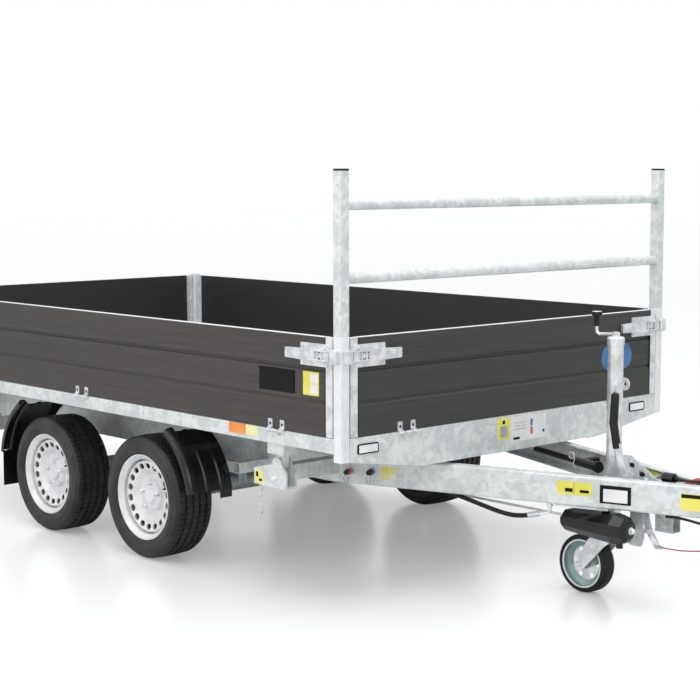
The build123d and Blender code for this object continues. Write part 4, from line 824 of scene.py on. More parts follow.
class ShapeTree:
    """A Geometry Nodes tree with short calls, and its use on a mesh."""

    def __init__(self, name: str, inputs: Sequence[tuple[str, str]]) -> None:
        """Start a tree.

        Args:
            name: The tree's name.
            inputs: Name and socket type of each input after the geometry.
        """
        self.tree = bpy.data.node_groups.new(name, "GeometryNodeTree")
        face = self.tree.interface
        face.new_socket("Geometry", in_out="INPUT", socket_type="NodeSocketGeometry")
        for title, kind in (*inputs, ("Finish", "NodeSocketMaterial")):
            face.new_socket(title, in_out="INPUT", socket_type=kind)
        face.new_socket("Geometry", in_out="OUTPUT", socket_type="NodeSocketGeometry")
        self.given = self.tree.nodes.new("NodeGroupInput").outputs
        self.result = self.tree.nodes.new("NodeGroupOutput").inputs[0]

    def node(self, kind: str, feeds: dict[str | int, Socket | float | int | tuple] | None = None,
             **values: object) -> bpy.types.Node:
        """Add a node.

        Args:
            kind: The node's type name, without its GeometryNode beginning where it has one.
            feeds: For each input, a socket to link or a value to set.
            values: Attributes to set on the node.

        Returns:
            The node.
        """
        full = kind if kind.startswith(("ShaderNode", "FunctionNode")) else f"GeometryNode{kind}"
        made = self.tree.nodes.new(full)
        for key, value in values.items():
            setattr(made, key, value)
        for key, value in (feeds or {}).items():
            if isinstance(value, bpy.types.NodeSocket):
                self.tree.links.new(value, made.inputs[key])
            else:
                made.inputs[key].default_value = value
        return made

    def times(self, first: Socket, second: Socket | float) -> Socket:
        """Multiply two numbers."""
        return self.node("ShaderNodeMath", {0: first, 1: second}, operation="MULTIPLY").outputs[0]

    def plus(self, first: Socket, second: Socket | float) -> Socket:
        """Add two numbers."""
        return self.node("ShaderNodeMath", {0: first, 1: second}, operation="ADD").outputs[0]

    def raised(self, mesh: Socket, height: Socket) -> Socket:
        """Move a mesh up by a height."""
        lift = self.node("ShaderNodeCombineXYZ", {"Z": height}).outputs[0]
        return self.node("Transform", {"Geometry": mesh, "Translation": lift}).outputs[0]

    def copies(self, points: Socket, piece: Socket, turn: Socket) -> Socket:
        """Put a turned copy of a piece at each point."""
        return self.node("InstanceOnPoints", {"Points": points, "Instance": piece, "Rotation": turn}).outputs[0]

    def finish(self, instances: Socket, merge: float = 0.0) -> None:
        """Turn instances into one mesh with its material, as the tree's result.

        Args:
            instances: The instances.
            merge: Distance under which points become one, or 0.
        """
        mesh = self.node("RealizeInstances", {"Geometry": instances}).outputs[0]
        if merge > 0.0:
            mesh = self.node("MergeByDistance", {"Geometry": mesh, "Distance": merge}).outputs[0]
        made = self.node("SetMaterial", {"Geometry": mesh, "Material": self.given["Finish"]})
        self.tree.links.new(made.outputs[0], self.result)

    def grow(self, name: str, start: bmesh.types.BMesh, finish: Finish, body: Body,
             move: Matrix | None = None, **values: object) -> bpy.types.Object:
        """Run the tree on a mesh and keep the plain result as a piece.

        Args:
            name: The piece's name.
            start: The mesh that goes in, which is used up.
            finish: The result's finish.
            body: The body it rides on.
            move: Where the result is put.
            values: The tree's inputs, with underscores for spaces.

        Returns:
            The piece.
        """
        mesh = bpy.data.meshes.new(name)
        start.to_mesh(mesh)
        start.free()
        made = placed(name, mesh)
        modifier = made.modifiers.new("shape", "NODES")
        modifier.node_group = self.tree
        wanted = {key.replace("_", " "): value for key, value in values.items()} | {"Finish": finish.material()}
        for item in self.tree.interface.items_tree:
            if item.in_out == "INPUT" and item.name in wanted:
                modifier[item.identifier] = wanted[item.name]
        bpy.context.view_layer.update()
        ready = made.evaluated_get(bpy.context.evaluated_depsgraph_get())
        result = bpy.data.meshes.new_from_object(ready)
        made.modifiers.clear()
        made.data = result
        bpy.data.meshes.remove(mesh)
        if move is not None:
            result.transform(move)
        Shop.smooth(result)
        Shop.mount(made, finish, body)
        LOG.info("piece %s on %s: %d faces by nodes", name, body.value, len(result.polygons))
        return made


class Trees:
    """The Geometry Nodes trees that repeated pieces come from, each made once."""

    @staticmethod
    @cache
    def ring() -> ShapeTree:
        """A segment repeated round the Y axis.

        Returns:
            The tree, with input Count.
        """
        tree = ShapeTree("ring_of_segments", [("Count", "NodeSocketInt")])
        given = tree.given
        line = tree.node("MeshLine", {"Count": given["Count"], "Offset": (0.0, 0.0, 0.0)}).outputs[0]
        share = tree.node("ShaderNodeMath", {0: math.tau, 1: given["Count"]}, operation="DIVIDE")
        turn = tree.times(tree.node("InputIndex").outputs[0], share.outputs[0])
        euler = tree.node("ShaderNodeCombineXYZ", {"Y": turn}).outputs[0]
        tree.finish(tree.copies(line, given["Geometry"], euler), merge=0.00002)
        return tree

    @staticmethod
    @cache
    def screws() -> ShapeTree:
        """A chamfered head on a washer at each point of a mesh.

        Returns:
            The tree, with inputs Head, Height, Sides, Washer, Washer Height and Turn.
        """
        kinds = [("Head", "NodeSocketFloat"), ("Height", "NodeSocketFloat"), ("Sides", "NodeSocketInt"),
                 ("Washer", "NodeSocketFloat"), ("Washer Height", "NodeSocketFloat"), ("Turn", "NodeSocketVector")]
        tree = ShapeTree("screws_on_points", kinds)
        given = tree.given
        body = tree.node("MeshCylinder", {"Vertices": given["Sides"], "Radius": given["Head"],
                                          "Depth": given["Height"]}).outputs[0]
        top = tree.node("MeshCone", {"Vertices": given["Sides"], "Radius Bottom": given["Head"],
                                     "Radius Top": tree.times(given["Head"], 0.74),
                                     "Depth": tree.times(given["Height"], 0.3)}).outputs[0]
        disc = tree.node("MeshCylinder", {"Vertices": 24, "Radius": given["Washer"],
                                          "Depth": given["Washer Height"]}).outputs[0]
        base = given["Washer Height"]
        joined = tree.node("JoinGeometry")
        for part in (tree.raised(disc, tree.times(base, 0.5)),
                     tree.raised(body, tree.plus(base, tree.times(given["Height"], 0.5))),
                     tree.raised(top, tree.plus(base, given["Height"]))):
            tree.tree.links.new(part, joined.inputs[0])
        tree.finish(tree.copies(given["Geometry"], joined.outputs[0], given["Turn"]))
        return tree

    @staticmethod
    @cache
    def hoops() -> ShapeTree:
        """Round hoops spaced along a line of edges.

        Returns:
            The tree, with inputs Count, Radius and Wire.
        """
        kinds = [("Count", "NodeSocketInt"), ("Radius", "NodeSocketFloat"), ("Wire", "NodeSocketFloat")]
        tree = ShapeTree("hoops_on_line", kinds)
        given = tree.given
        line = tree.node("MeshToCurve", {0: given["Geometry"]}).outputs[0]
        spots = tree.node("CurveToPoints", {"Curve": line, "Count": given["Count"]}).outputs
        path = tree.node("CurvePrimitiveCircle", {"Resolution": 28, "Radius": given["Radius"]}).outputs[0]
        wire = tree.node("CurvePrimitiveCircle", {"Resolution": 8, "Radius": given["Wire"]}).outputs[0]
        hoop = tree.node("CurveToMesh", {"Curve": path, "Profile Curve": wire}).outputs[0]
        tree.finish(tree.copies(spots["Points"], hoop, spots["Rotation"]))
        return tree


@dataclass
class Screws:
    """Like screw heads on one face."""

    name: str
    body: Body
    places: Sequence[Point]
    normal: Point
    head: float = 0.005
    height: float = 0.003
    sides: int = 6
    washer: float = 0.008
    washer_height: float = 0.001
    finish: Finish = ZINC

    def build(self) -> bpy.types.Object:
        """Make the heads.

        Returns:
            The piece.
        """
        points = bmesh.new()
        for place in self.places:
            points.verts.new(place)
        turn = Vector((0.0, 0.0, 1.0)).rotation_difference(Vector(self.normal)).to_euler()
        return Trees.screws().grow(self.name, points, self.finish, self.body, Head=self.head,
                                   Height=self.height, Sides=self.sides, Washer=self.washer,
                                   Washer_Height=self.washer_height, Turn=tuple(turn))


@dataclass
class Hoops:
    """Round ribs spaced evenly along a line."""

    name: str
    body: Body
    line: Sequence[Point]
    count: int
    radius: float
    wire: float
    finish: Finish

    def build(self) -> bpy.types.Object:
        """Make the ribs.

        Returns:
            The piece.
        """
        mesh = bmesh.new()
        spots = [mesh.verts.new(point) for point in self.line]
        for first, second in zip(spots, spots[1:]):
            mesh.edges.new((first, second))
        return Trees.hoops().grow(self.name, mesh, self.finish, self.body, Count=self.count,
                                  Radius=self.radius, Wire=self.wire)


@dataclass
class Sticker:
    """A film or thin plate on a face, with plain blocks of other colours on it."""

    name: str
    node: str
    body: Body
    near: Point
    normal: Point
    width: float
    height: float
    finish: Finish
    blocks: Sequence[tuple[float, float, float, float, Finish]] = ()
    thick: float = 0.0006
    corner: float = 0.003
    sink: float = 0.0002
    block_sink: float = 0.0001
    block_rise: float = 0.0004

    def sheet(self, width: float, height: float, centre: Flat, low: float, high: float,
              corner: float) -> bmesh.types.BMesh:
        """One flat block on the sticker.

        Args:
            width: Its width.
            height: Its height.
            centre: Its place from the sticker's middle.
            low: Its underside above the face.
            high: Its top above the face.
            corner: Radius of its corners.

        Returns:
            The block.
        """
        flat = [(a + centre[0], b + centre[1]) for a, b in Shop.rounded(width, height, corner)]
        solid = Shop.prism(flat, low, high, "z")
        return Shop.moved(solid, Shop.facing(Shop.seat(self.node, self.near, self.normal), self.normal))

    def build(self) -> None:
        """Make the film and its blocks, one piece for each colour."""
        film = self.sheet(self.width, self.height, (0.0, 0.0), -self.sink, self.thick, self.corner)
        Shop.piece(self.name, film, self.finish, self.body)
        colours: dict[Finish, list[bmesh.types.BMesh]] = {}
        for left, low, right, high, finish in self.blocks:
            wide, tall = (right - left) * self.width, (high - low) * self.height
            centre = ((left + right - 1.0) / 2.0 * self.width, (low + high - 1.0) / 2.0 * self.height)
            block = self.sheet(wide, tall, centre, self.thick - self.block_sink, self.thick + self.block_rise,
                               min(0.0015, wide * 0.2, tall * 0.2))
            colours.setdefault(finish, []).append(block)
        for finish, blocks in colours.items():
            Shop.piece(f"{self.name}_{finish.name}", Shop.join(blocks), finish, self.body)


@dataclass(frozen=True)
class Cord:
    """A hose or cable on its smooth route."""

    name: str
    route: Sequence[Point]
    diameter: float
    length: float
    finish: Finish
    far_end: str
    stiffness: str
    lay: str
    ends: Sequence[str] = ()

    def build(self) -> bpy.types.Object:
        """Returns:
            The cord.
        """
        curve = bpy.data.curves.new(f"{self.name}_line", "CURVE")
        curve.dimensions = "3D"
        curve.bevel_depth = self.diameter / 2.0
        curve.bevel_resolution = 5
        curve.resolution_u = 10
        curve.use_fill_caps = True
        spline = curve.splines.new("NURBS")
        spline.points.add(len(self.route) - 1)
        for spot, point in zip(spline.points, self.route):
            spot.co = (*point, 1.0)
        spline.order_u = 3
        spline.use_endpoint_u = True
        curve.materials.append(self.finish.material())
        made = placed(f"{self.name}_line", curve)
        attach(made, Body.CHASSIS.value)
        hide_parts(self.name)
        LOG.info("cord %s: %.3f m", self.name, self.length)
        return made


@dataclass
class Cords:
    """The tipping hose, the red breakaway cable and the trailer's own supply cable."""

    hose: Cord = Cord(
        "hydraulic_hose",
        ((1.156, -0.240, 0.331), (1.11767, -0.24625, 0.32142), (1.040, -0.258, 0.323), (0.930, -0.272, 0.345),
         (0.800, -0.300, 0.376), (0.690, -0.350, 0.408), (0.590, -0.415, 0.431), (0.492, -0.470, 0.446),
         (0.422, -0.470, 0.446)),
        0.018, 0.795, RUBBER, "object", "stiff", "hanging")
    breakaway: Cord = Cord(
        "breakaway_cable",
        ((1.611, -0.017, 0.246), (1.666, -0.017, 0.246), (1.734, -0.0175, 0.253), (1.802, -0.018, 0.2655),
         (1.870, -0.018, 0.2815), (1.938, -0.0185, 0.2995), (2.006, -0.019, 0.3195), (2.074, -0.0195, 0.342),
         (2.142, -0.020, 0.367), (2.210, -0.020, 0.394), (2.261, -0.020, 0.394)),
        0.005, 0.671, RED_CABLE, "object", "medium", "hanging")
    supply: Cord = Cord(
        "trailer_cable",
        ((1.656, -0.050, 0.378), (1.726, -0.050, 0.378), (1.826, -0.056, 0.370), (1.936, -0.066, 0.368),
         (2.036, -0.074, 0.376), (2.126, -0.078, 0.402), (2.176, -0.076, 0.460), (2.156, -0.070, 0.525),
         (2.076, -0.054, 0.556), (1.971, -0.036, 0.548), (1.861, -0.027, 0.530), (1.761, -0.024, 0.512),
         (1.681, -0.024, 0.512)),
        0.010, 1.094, RUBBER, "plug", "medium", "loose", ("trailer_plug",))
    sleeve: Flat = (1.650, 1.660)
    sleeve_radius: float = 0.0088
    ribs: int = 5
    rib_pitch: float = 0.006

    def strain_relief(self) -> None:
        """Ribbed tapered sleeve where the supply cable leaves the housing."""
        steps = [(x, self.sleeve_radius) for x in self.sleeve]
        for rib in range(self.ribs):
            x, radius = self.sleeve[1] + self.rib_pitch * rib, 0.0084 - 0.0005 * rib
            steps += [(x + 0.0008, radius - 0.0008), (x + 0.0022, radius - 0.0008), (x + 0.0030, radius),
                      (x + 0.0056, radius - 0.0002)]
        _, y, z = self.supply.route[0]
        sleeve = Shop.tube([(x, y, z) for x, _ in steps], [radius for _, radius in steps], 24)
        Shop.piece("cable_strain_relief", sleeve, RUBBER, Body.CHASSIS)

    def build(self) -> None:
        """Make all three and the sleeve."""
        for cord in (self.hose, self.breakaway, self.supply):
            cord.build()
        self.strain_relief()


@dataclass
class RoadWheel:
    """One road wheel's tyre with its tread, its bolts and its valve."""

    place: str
    side: str
    pitches: int = 66
    groove_depth: float = 0.0085
    groove_wave: float = 0.0022
    sipe_depth: float = 0.005
    crown_drop: float = 0.0028
    bolt_circle: float = 0.056
    bolt_count: int = 5
    bolt_seat: float = 0.0435
    valve_line: tuple[Point, ...] = ((0.140, 0.056, 0.052), (0.143, 0.070, 0.0535), (0.146, 0.084, 0.055))
    valve_radii: Point = (0.0060, 0.0045, 0.0035)

    @property
    def way(self) -> float:
        """The wheel's outward sign on Y."""
        return 1.0 if self.side == "left" else -1.0

    @property
    def body(self) -> Body:
        """The wheel's body."""
        return Body(f"road_wheel_{self.place}_{self.side}")

    @property
    def centre(self) -> Point:
        """The wheel's middle."""
        x = WHEEL_X[0] if self.place == "front" else WHEEL_X[1]
        return (x, self.way * WHEEL_Y, TYRE_R)

    def columns(self) -> list[tuple[float, float, float, float]]:
        """The tyre's section from one bead to the other.

        Returns:
            For each column its radius, offset, wave and sipe depth.
        """
        half = [(0.1653, 0.0700), (0.1790, 0.0750), (0.1835, 0.0815), (0.1850, 0.0870), (0.1900, 0.0905),
                (0.1935, 0.0920), (0.1960, 0.0915), (0.2040, 0.0950), (0.2142, 0.0972), (0.2260, 0.0966),
                (0.2380, 0.0942), (0.2420, 0.0948), (0.2470, 0.0915), (0.2530, 0.0868), (0.2572, 0.0815)]
        left = [(radius, -offset, 0.0, 0.0) for radius, offset in half]
        crown = []
        for low, high in ((-0.0580, -0.0470), (-0.0230, -0.0120), (0.0120, 0.0230), (0.0470, 0.0580)):
            for offset, sunk in ((low, 0.0), (low + 0.0012, 1.0), (high - 0.0012, 1.0), (high, 0.0)):
                radius = TYRE_R - self.crown_drop * (offset / 0.076) ** 2 - sunk * self.groove_depth
                crown.append((radius, offset, self.groove_wave, (1.0 - sunk) * self.sipe_depth))
        ends = [(TYRE_R - self.crown_drop, side * 0.0755, 0.0, self.sipe_depth * 0.8) for side in (-1, 1)]
        right = [(radius, -offset, wave, sunk) for radius, offset, wave, sunk in reversed(left)]
        return [*left, ends[0], *crown, ends[1], *right]

    def segment(self) -> bmesh.types.BMesh:
        """One pitch of the tyre about the Y axis.

        Returns:
            The segment.
        """
        mesh = bmesh.new()
        stations = ((0.0, 0.0), (0.40, 0.0), (0.42, 1.0), (0.50, 1.0), (0.52, 0.0), (1.0, 0.0))
        rings = []
        for share, sipe in stations:
            angle = math.tau * share / self.pitches
            wave = 1.0 - 4.0 * abs(share - 0.5)
            ring = []
            for radius, offset, swing, sunk in self.columns():
                reach = radius - sipe * sunk
                ring.append(mesh.verts.new((reach * math.cos(angle), offset + swing * wave,
                                            -reach * math.sin(angle))))
            rings.append(ring)
        for first, second in zip(rings, rings[1:]):
            count = len(first)
            for place in range(count):
                after = (place + 1) % count
                mesh.faces.new((first[place], first[after], second[after], second[place]))
        return mesh

    def tyre(self) -> None:
        """Tyre with four zigzag grooves and cross sipes, for its plain CAD ring."""
        name = f"treaded_tyre_{self.place}_{self.side}"
        made = Trees.ring().grow(name, self.segment(), TYRE, self.body,
                                 Matrix.Translation(Vector(self.centre)), Count=self.pitches)
        Shop.outward(made.data)
        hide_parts(f"tyre_{self.place}_{self.side}")

    def bolts(self) -> None:
        """Wheel bolts round the hub."""
        x, y, z = self.centre
        turns = [math.tau * (step + 0.25) / self.bolt_count for step in range(self.bolt_count)]
        places = [(x + self.bolt_circle * math.cos(turn), y + self.way * self.bolt_seat,
                   z + self.bolt_circle * math.sin(turn)) for turn in turns]
        Screws(f"wheel_bolts_{self.place}_{self.side}", self.body, places, (0.0, self.way, 0.0),
               head=0.0105, height=0.010, washer=0.0125, washer_height=0.003).build()

    def valve(self) -> None:
        """Rubber valve by the rim."""
        x, y, z = self.centre
        stem = Shop.tube([(x + a, y + self.way * b, z + c) for a, b, c in self.valve_line], self.valve_radii, 12)
        Shop.piece(f"valve_{self.place}_{self.side}", stem, RUBBER, self.body)

    def build(self) -> None:
        """Dress the wheel."""
        self.tyre()
        self.bolts()
        self.valve()


@dataclass(frozen=True)
class Board:
    """One board of the bed: its outer face, its ends and its hinges.

    along is 0 for a board that runs along X and 1 for one that runs along Y.
    """

    body: Body
    tag: str
    along: int
    face: float
    ends: Flat
    hinges: tuple[float, ...] = ()
    latches: bool = True

    @property
    def way(self) -> float:
        """The outward sign across the board."""
        return math.copysign(1.0, self.face)

    @property
    def normal(self) -> Point:
        """The outward direction."""
        return (self.way, 0.0, 0.0) if self.along else (0.0, self.way, 0.0)

    def point(self, along: float, out: float, z: float) -> Point:
        """The point at a place along the board, outward of its face and up."""
        across = self.face + self.way * out
        return (across, along, z) if self.along else (along, across, z)

    def block(self, along: Flat, out: Flat, up: Flat) -> bmesh.types.BMesh:
        """A box between two places along the board, outward and up."""
        first, last = self.point(along[0], out[0], up[0]), self.point(along[1], out[1], up[1])
        return Shop.box(tuple(map(min, first, last)), tuple(map(max, first, last)))


SIDE_ENDS = (-2.417, 0.829)
SIDE_HINGES = (0.516, -0.794, -2.104)
CROSS_ENDS = (-0.903, 0.903)
BOARDS = (
    Board(Body.RIGHT, "dropside_right", 0, -BED_SIDE, SIDE_ENDS, SIDE_HINGES),
    Board(Body.LEFT, "dropside_left", 0, BED_SIDE, SIDE_ENDS, SIDE_HINGES),
    Board(Body.FRONT, "front", 1, BED_FRONT, CROSS_ENDS, (-0.620, 0.620)),
    Board(Body.TAIL, "tail", 1, BED_REAR, CROSS_ENDS, latches=False),
)


@dataclass
class BoardTrim:
    """Trim of the boards: bright top edges that are part worn anodising and part painted highlight, dark seals,
    latch screws, bails and hinge holes with painted shade.
    """

    top: float = 1.032
    low: float = 0.666
    thick: float = 0.025
    margin: float = 0.001
    strip: float = 0.0012
    cap: float = 0.038
    seal_half: float = 0.0025
    seal_depth: Flat = (-0.018, 0.0006)
    latch_start: float = 0.023
    latch_length: float = 0.148
    latch_middle: float = 0.965
    latch_height: float = 0.084
    latch_plate: float = 0.0041
    screw_insets: Flat = (0.012, 0.014)
    bail_out: float = 0.0165
    bail_rise: float = 0.017
    bail_ends: Flat = (0.078, 0.010)
    bail_wire: float = 0.0032
    rib: Flat = (0.083, 0.205)
    rib_height: float = 0.022
    rib_out: float = 0.0172
    hole_height: float = 0.684
    hole_half: float = 0.034
    leaf: float = 0.0036

    def lit_and_worn_edge(self, board: Board) -> None:
        """Bright strip along a board's top edge: cut, worn anodising, and a painted highlight of the lit top face.
        """
        run = (board.ends[0] + self.cap, board.ends[1] - self.cap)
        strip = board.block(run, (-self.margin, self.margin - self.thick),
                            (self.top - 0.0002, self.top + self.strip))
        Shop.piece(f"{board.body.value}_top_strip", strip, ALUMINIUM, board.body)

    def end_seals(self, board: Board) -> None:
        """Dark seals between a board and its end caps."""
        seals = [board.block((spot - self.seal_half, spot + self.seal_half), self.seal_depth,
                             (self.low + 0.002, self.top))
                 for spot in (board.ends[1] - self.cap, board.ends[0] + self.cap)]
        Shop.piece(f"{board.body.value}_seals", Shop.join(seals), RUBBER, board.body)

    @staticmethod
    def inward(board: Board) -> tuple[Flat, Flat]:
        """Each end of a board with the way along it from there."""
        return ((board.ends[1], -1.0), (board.ends[0], 1.0))

    def latch_screws(self, board: Board) -> None:
        """Screws at the corners of a board's latch plates."""
        rise = self.latch_height / 2.0 - 0.010
        near, far = self.screw_insets
        places = [board.point(end + step * (self.latch_start + along), self.latch_plate, self.latch_middle + up)
                  for end, step in self.inward(board) for along in (near, self.latch_length - far)
                  for up in (-rise, rise)]
        Screws(f"{board.tag}_latch_screws", board.body, places, board.normal,
               head=0.0042, height=0.0022, sides=20, washer=0.0050, washer_height=0.0006).build()

    def latch_bails(self, board: Board) -> None:
        """Wire bails from each lever over the keeper, and the raised rib of a side board's levers."""
        bails, ribs = [], []
        for end, step in self.inward(board):
            for up in (-self.bail_rise, self.bail_rise):
                line = [board.point(end + step * along, self.bail_out, self.latch_middle + up)
                        for along in self.bail_ends]
                bails.append(Shop.tube(line, [self.bail_wire] * 2, 10))
            if board.along == 0:
                first, last = sorted(end + step * (self.latch_start + along) for along in self.rib)
                flat = [(a + (first + last) / 2.0, b + self.latch_middle)
                        for a, b in Shop.rounded(last - first, self.rib_height, 0.006)]
                depths = sorted(board.face + board.way * out for out in (self.bail_out, self.rib_out))
                ribs.append(Shop.prism(flat, *depths, "y"))
        Shop.piece(f"{board.tag}_latch_bails", Shop.join(bails), ZINC, board.body)
        if ribs:
            Shop.piece(f"{board.tag}_lever_ribs", Shop.join(ribs), ZINC, board.body, 0.0006)

    def hinge_holes(self, board: Board) -> None:
        """Black discs as painted shade in the screw holes of a board's hinge leaves."""
        places = [board.point(spot + side * self.hole_half, self.leaf, self.hole_height)
                  for spot in board.hinges for side in (-1.0, 1.0)]
        Screws(f"{board.tag}_hinge_holes", board.body, places, board.normal, head=0.0048, height=0.0003,
               sides=20, washer=0.0056, washer_height=0.0002, finish=FILM_BLACK).build()

    def build(self) -> None:
        """Dress the boards."""
        latched = [board for board in BOARDS if board.latches]
        steps = ((self.lit_and_worn_edge, BOARDS), (self.end_seals, BOARDS), (self.latch_screws, latched),
                 (self.latch_bails, latched), (self.hinge_holes, latched))
        for step, boards in steps:
            for board in boards:
                step(board)


@dataclass
class Signs:
    """Plain films, blank plates and reflectors on the bed and the drawbar."""

    reflector_z: float = 0.620
    reflector_width: float = 0.105
    reflector_height: float = 0.038

    def boards(self) -> None:
        """Blank plate and plain films on the boards."""
        Sticker("side_plate", "board_right", Body.RIGHT, (0.515, -BED_SIDE, 0.853), RIGHTWARD, 0.208,
                0.088, FILM_BLACK, thick=0.0010, corner=0.002).build()
        panes = [(0.44, low, 0.93, low + 0.38, FILM_WHITE) for low in (0.09, 0.53)]
        Sticker("side_film", "board_right", Body.RIGHT, (0.709, -BED_SIDE, 0.855), RIGHTWARD, 0.088,
                0.088, FILM_YELLOW, panes, corner=0.002).build()
        Sticker("front_oval", "board_front", Body.FRONT, (BED_FRONT, 0.640, 0.846), FORWARD, 0.205, 0.112,
                FILM_BLUE, corner=0.0555).build()

    def front_rail(self) -> None:
        """Blank sheets and reflectors on the front rail."""
        lines = [(0.08, 0.74 - row * 0.13, 0.44, 0.77 - row * 0.13, SHADED_GALVANISED_AND_GREY_PRINT) for row in range(3)]
        marks = [(0.55, 0.22, 0.61, 0.52, KNOB_RED), (0.55, 0.56, 0.61, 0.84, FILM_BLUE),
                 (0.06, 0.07, 0.24, 0.17, FILM_BLACK), (0.90, 0.22, 0.96, 0.34, KNOB_BLUE)]
        Sticker("rail_sheet", "bed_frame", Body.BED, (BED_FRONT, 0.075, 0.603), FORWARD, 0.210, 0.098,
                FILM_WHITE, [*lines, *marks], corner=0.002).build()
        Sticker("rail_film", "bed_frame", Body.BED, (BED_FRONT, -0.075, 0.612), FORWARD, 0.074, 0.084,
                FILM_YELLOW, [(0.22, 0.12, 0.80, 0.62, SHADED_GALVANISED_AND_GREY_PRINT), (0.40, 0.72, 0.60, 0.90, FILM_BLACK)],
                corner=0.002).build()
        for name, y in (("right", -0.8175), ("left", 0.777)):
            Sticker(f"front_reflector_{name}", "bed_frame", Body.BED, (BED_FRONT, y, self.reflector_z), FORWARD,
                    self.reflector_width, self.reflector_height, FILM_BLACK,
                    [(0.055, 0.13, 0.945, 0.87, LENS_CLEAR)], 0.0040, 0.008).build()

    def side_rails(self) -> None:
        """Amber reflector and pale film on each side rail."""
        for name, way in SIDES:
            normal = (0.0, way, 0.0)
            Sticker(f"side_reflector_{name}", "bed_frame", Body.BED, (0.279, way * BED_SIDE, 0.642), normal,
                    0.098, 0.040, LENS_AMBER, thick=0.0030, corner=0.003).build()
            Sticker(f"side_pale_{name}", "bed_frame", Body.BED, (0.366, way * BED_SIDE, 0.641), normal,
                    0.070, 0.036, FILM_PALE, corner=0.002).build()

    def drawbar(self) -> None:
        """Films and the blank type plate on the right arm's web."""
        Sticker("arm_pin_film", "drawbar_arms", Body.CHASSIS, on_arm(0.619, 0.446), ARM_OUT, 0.072, 0.051,
                FILM_PALE, [(0.06, 0.55, 0.46, 0.94, FILM_YELLOW), (0.54, 0.08, 0.94, 0.50, FILM_WHITE)],
                corner=0.002).build()
        Sticker("arm_film", "drawbar_arms", Body.CHASSIS, on_arm(1.352, 0.457), ARM_OUT, 0.138, 0.050,
                FILM_YELLOW, [(0.24, 0.22, 0.46, 0.50, FILM_BLACK), (0.66, 0.22, 0.92, 0.44, FILM_BLACK),
                              (0.49, 0.02, 0.50, 0.98, FILM_BLACK)], corner=0.002).build()
        Sticker("type_plate", "drawbar_arms", Body.CHASSIS, on_arm(1.504, 0.446), ARM_OUT, 0.120, 0.068,
                FILM_BLACK, [(0.11, 0.10, 0.89, 0.80, FILM_WHITE)], 0.0010, 0.002).build()
        Sticker("arm_notice", "drawbar_arms", Body.CHASSIS, on_arm(1.784, 0.446), ARM_OUT, 0.100, 0.062,
                FILM_YELLOW, [(0.03, 0.74, 0.97, 0.96, FILM_BLACK)], corner=0.002).build()
        Sticker("far_arm_film", "drawbar_arms", Body.CHASSIS, (1.425, 0.155, 0.478), (-ARM_OUT[0], ARM_OUT[1], 0.0),
                0.110, 0.034, FILM_YELLOW, [(0.05, 0.62, 0.95, 0.72, FILM_BLACK)], corner=0.002).build()
        Sticker("beam_end_film", "pivot_beams", Body.CHASSIS, (0.376, -0.900, 0.461), RIGHTWARD,
                0.046, 0.048, FILM_YELLOW, [(0.12, 0.46, 0.42, 0.88, FILM_BLACK),
                                            (0.50, 0.14, 0.90, 0.34, FILM_BLACK)], corner=0.002).build()

    def build(self) -> None:
        """Place every film, plate and reflector."""
        self.boards()
        self.front_rail()
        self.side_rails()
        self.drawbar()


@dataclass
class LockPins:
    """Coloured knobs of the two parked lock pins, with their wire clips."""

    pins: tuple[Flat, Flat] = ((0.453, 0.441), (0.549, 0.448))
    ball: float = 0.0136
    ball_out: float = 0.014
    collar: tuple[Flat, ...] = ((0.0255, 0.0098), (0.030, 0.0098), (0.0385, 0.0092))
    clip_out: float = 0.033
    clip_half: float = 0.010
    clip_drop: Flat = (0.006, 0.034)
    clip_wire: float = 0.0009

    def build(self) -> None:
        """Dress both pins."""
        out, up = Vector(ARM_OUT), Vector((0.0, 0.0, 1.0))
        side = Vector((out.y, -out.x, 0.0))
        for (x, z), finish, name in zip(self.pins, (KNOB_RED, KNOB_BLUE), ("red", "blue")):
            foot = Vector(on_arm(x, z))
            knob = bmesh.new()
            bmesh.ops.create_uvsphere(knob, u_segments=32, v_segments=20, radius=self.ball)
            knob = Shop.moved(knob, Matrix.Translation(foot + out * self.ball_out))
            Shop.piece(f"{name}_knob", knob, finish, Body.CHASSIS)
            collar = Shop.tube([foot + out * reach for reach, _ in self.collar],
                               [radius for _, radius in self.collar], 20)
            Shop.piece(f"{name}_collar", collar, RUBBER, Body.CHASSIS, 0.0008)
            wires = []
            for half in (-self.clip_half, self.clip_half):
                bow = [foot + out * self.clip_out + side * half * math.sin(math.pi * 0.9 * share)
                       - up * (self.clip_drop[0] + self.clip_drop[1] * share)
                       for share in (step / 8.0 for step in range(9))]
                wires.append(Shop.tube(bow, [self.clip_wire] * len(bow), 8))
            Shop.piece(f"{name}_wire_clip", Shop.join(wires), KNOB_BLUE, Body.CHASSIS)


